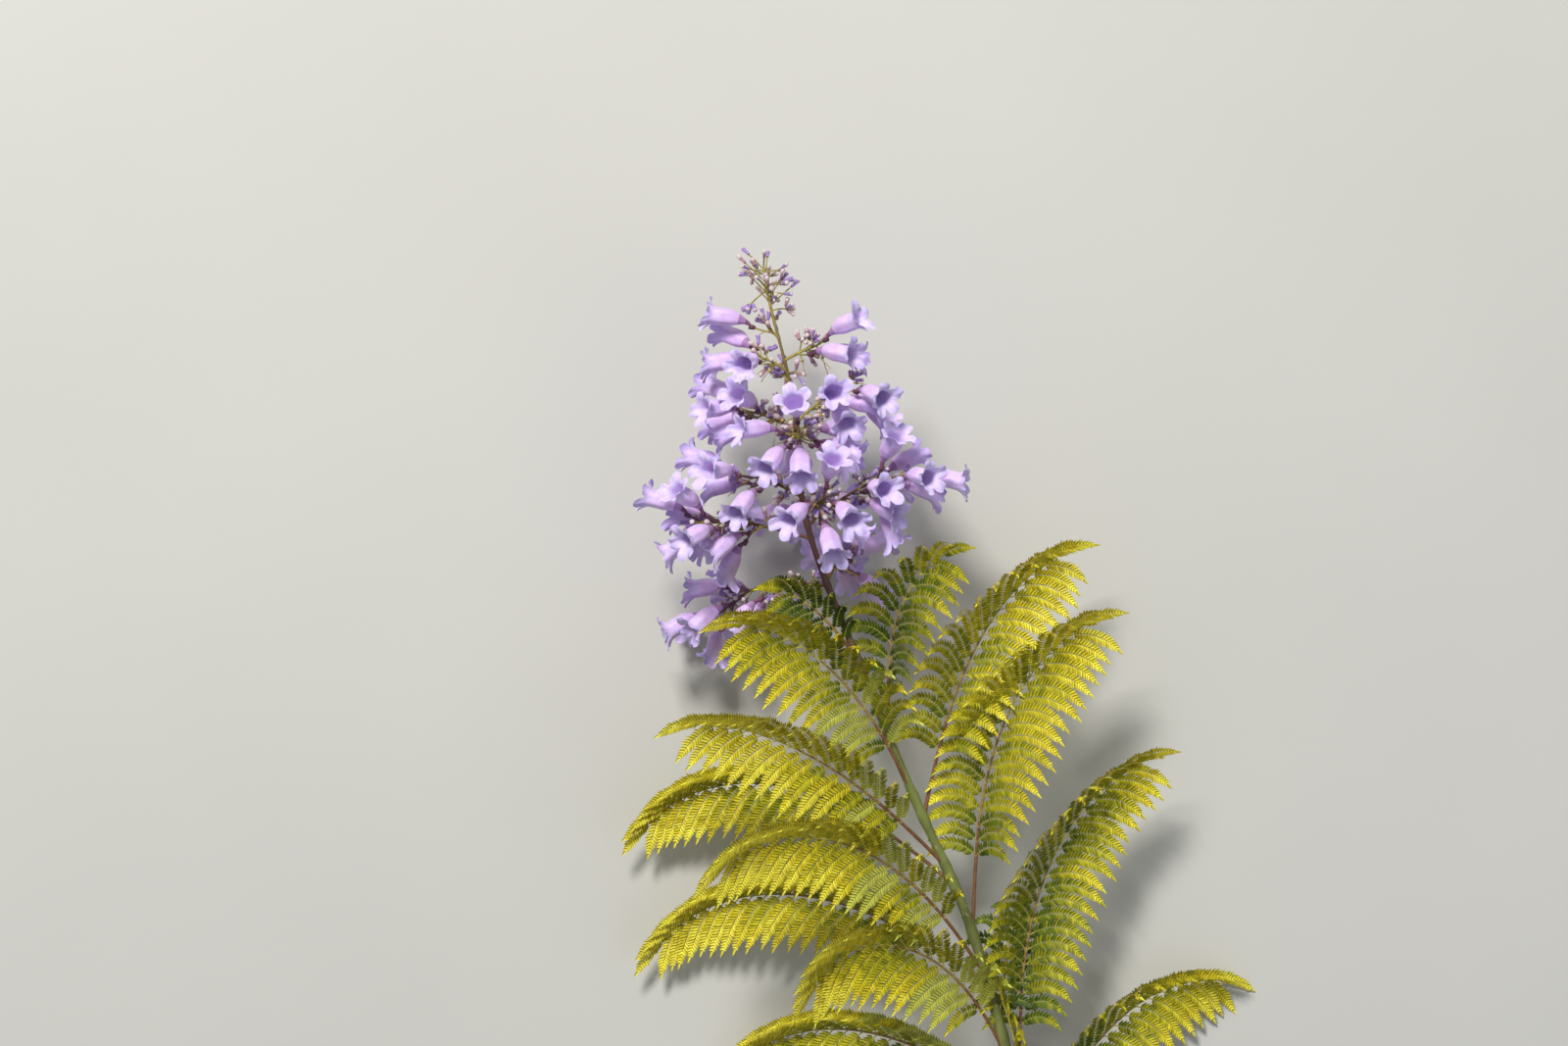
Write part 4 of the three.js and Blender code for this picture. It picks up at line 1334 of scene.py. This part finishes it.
def take_space():
    """Takes the space of the stem and of the leaves' rachises, which blossoms and buds keep off."""
    for height in range(0, STEM_TOP + 1, STEM_BALL_STEP):
        taken.append(np.array([[*stem_at(height), stem_radius(height) + STEM_ROOM]]))
    for leaf in LEAVES:
        taken.append(beads_along(rachis_line(leaf), RACHIS_BASE_RADIUS))


def petal_paints(bands):
    """Paints of soft petals, in the colours of the bands."""
    petals = dict(spread=0.1, scale=160, roughness=0.6, bump=0.25, sheen=0.2, glow=0.3)
    return [mottled(f"petal_{name}", colour, **petals) for name, colour, _ in bands]


def flower_pieces():
    """The flower head as joined meshes: petals, stalks and buds."""
    take_space()
    grown = [grow_cyme(cyme, k) for k, cyme in enumerate(CYMES)]
    head = Head(Heap(), Heap(), Heap(), Heap())
    random = chance(HEAD_SEED)
    for cyme, (line, sites, bud_stalks) in zip(CYMES, grown):
        dress_cyme(head, cyme, line, sites, bud_stalks, random)
    upper = stem_line(np.linspace(UPPER_BUDS_FROM, STEM_TOP, CYME_RINGS))
    grow_side_buds(head, upper, UPPER_FAN, random, UPPER_CLUSTERS)
    stalk_paints = [mottled(name, colour, 0.3, waves, rough) for name, colour, waves, rough in STALK_PAINTS]
    bud_paints = [mottled(name, colour, 0.25, 500, 0.5, sheen=sheen) for name, colour, sheen in BUD_PAINTS]
    pieces = {
        "blossom": [
            head.outsides.mesh("blossom_outsides", petal_paints(OUTSIDE_BANDS)),
            head.insides.mesh("blossom_insides", petal_paints(INSIDE_BANDS)),
        ],
        "cyme": [
            head.stalks.mesh("flower_stalks", stalk_paints),
            head.buds.mesh("buds", bud_paints),
        ],
    }
    return pieces


# Room

# Half the floor's width, in metres
FLOOR_HALF = 6.0

# Lights: name, place, target, size, power, colour
LIGHTS = [
    ("key", (-1.1, 2.6, 3.4), (0, 0.1, 0), 1.0, 188, (1.0, 0.97, 0.9)),
    ("fill", (2.6, -1.6, 3.0), (0, 0, 0), 2.5, 16, (0.92, 0.95, 1.0)),
]
SKY_COLOUR = (0.93, 0.96, 1.0, 1)
SKY_STRENGTH = 0.3

# The view: the photograph's width in pixels, a pixel's size, the place in its middle, the height in
# metres at which that size holds, and the camera's film and lens
PHOTO_WIDTH = 1600
PIXEL = 0.75
VIEW_MIDDLE = vec(-193.5, 500, 0)
VIEW_HEIGHT = 0.1
FILM = 36
LENS = 200


def make_floor():
    mesh = bpy.data.meshes.new("floor")
    half = FLOOR_HALF
    corners = [(-half, -half, 0), (half, -half, 0), (half, half, 0), (-half, half, 0)]
    mesh.from_pydata(corners, [], [(0, 1, 2, 3)])
    floor = bpy.data.objects.new("floor", mesh)
    bpy.context.collection.objects.link(floor)
    mesh.materials.append(mottled("floor_paint", (0.58, 0.58, 0.56), 0.02, 3, 0.8))


def add_area_light(name, place, target, size, power, colour):
    light = bpy.data.lights.new(name, "AREA")
    light.size = size
    light.energy = power
    light.color = colour
    lamp = bpy.data.objects.new(name, light)
    lamp.location = place
    toward = Vector(target) - Vector(place)
    lamp.rotation_mode = "QUATERNION"
    lamp.rotation_quaternion = toward.to_track_quat("-Z", "Y")
    bpy.context.collection.objects.link(lamp)


def light_room():
    world = bpy.data.worlds.new("room")
    world.use_nodes = True
    backdrop = world.node_tree.nodes["Background"]
    backdrop.inputs["Color"].default_value = SKY_COLOUR
    backdrop.inputs["Strength"].default_value = SKY_STRENGTH
    bpy.context.scene.world = world
    for row in LIGHTS:
        add_area_light(*row)
    bpy.context.scene.view_settings.view_transform = "Standard"


def place_camera():
    """Straight above, with the stem's foot outside the picture as in the photograph."""
    data = bpy.data.cameras.new("camera")
    data.sensor_width = FILM
    data.lens = LENS
    width = PHOTO_WIDTH * PIXEL * MM
    middle = (VIEW_MIDDLE + SHIFT) * MM
    camera = bpy.data.objects.new("camera", data)
    camera.location = (middle[0], middle[1], VIEW_HEIGHT + width * LENS / FILM)
    bpy.context.collection.objects.link(camera)
    bpy.context.scene.camera = camera


# Assembly

stem = stem_piece()
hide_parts("stem")
leaves = leaf_pieces()
flowers = flower_pieces()
nodes = list(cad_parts)
for piece in leaves:
    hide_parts(*[row[0] for row in LEAVES])
for piece in flowers["blossom"]:
    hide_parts(*[node for node in nodes if "_blossom_" in node])
for piece in flowers["cyme"]:
    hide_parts(*[row[0] for row in CYMES])
for piece in [stem, *leaves, *flowers["blossom"], *flowers["cyme"]]:
    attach(piece, "root")

make_floor()
light_room()
place_camera()
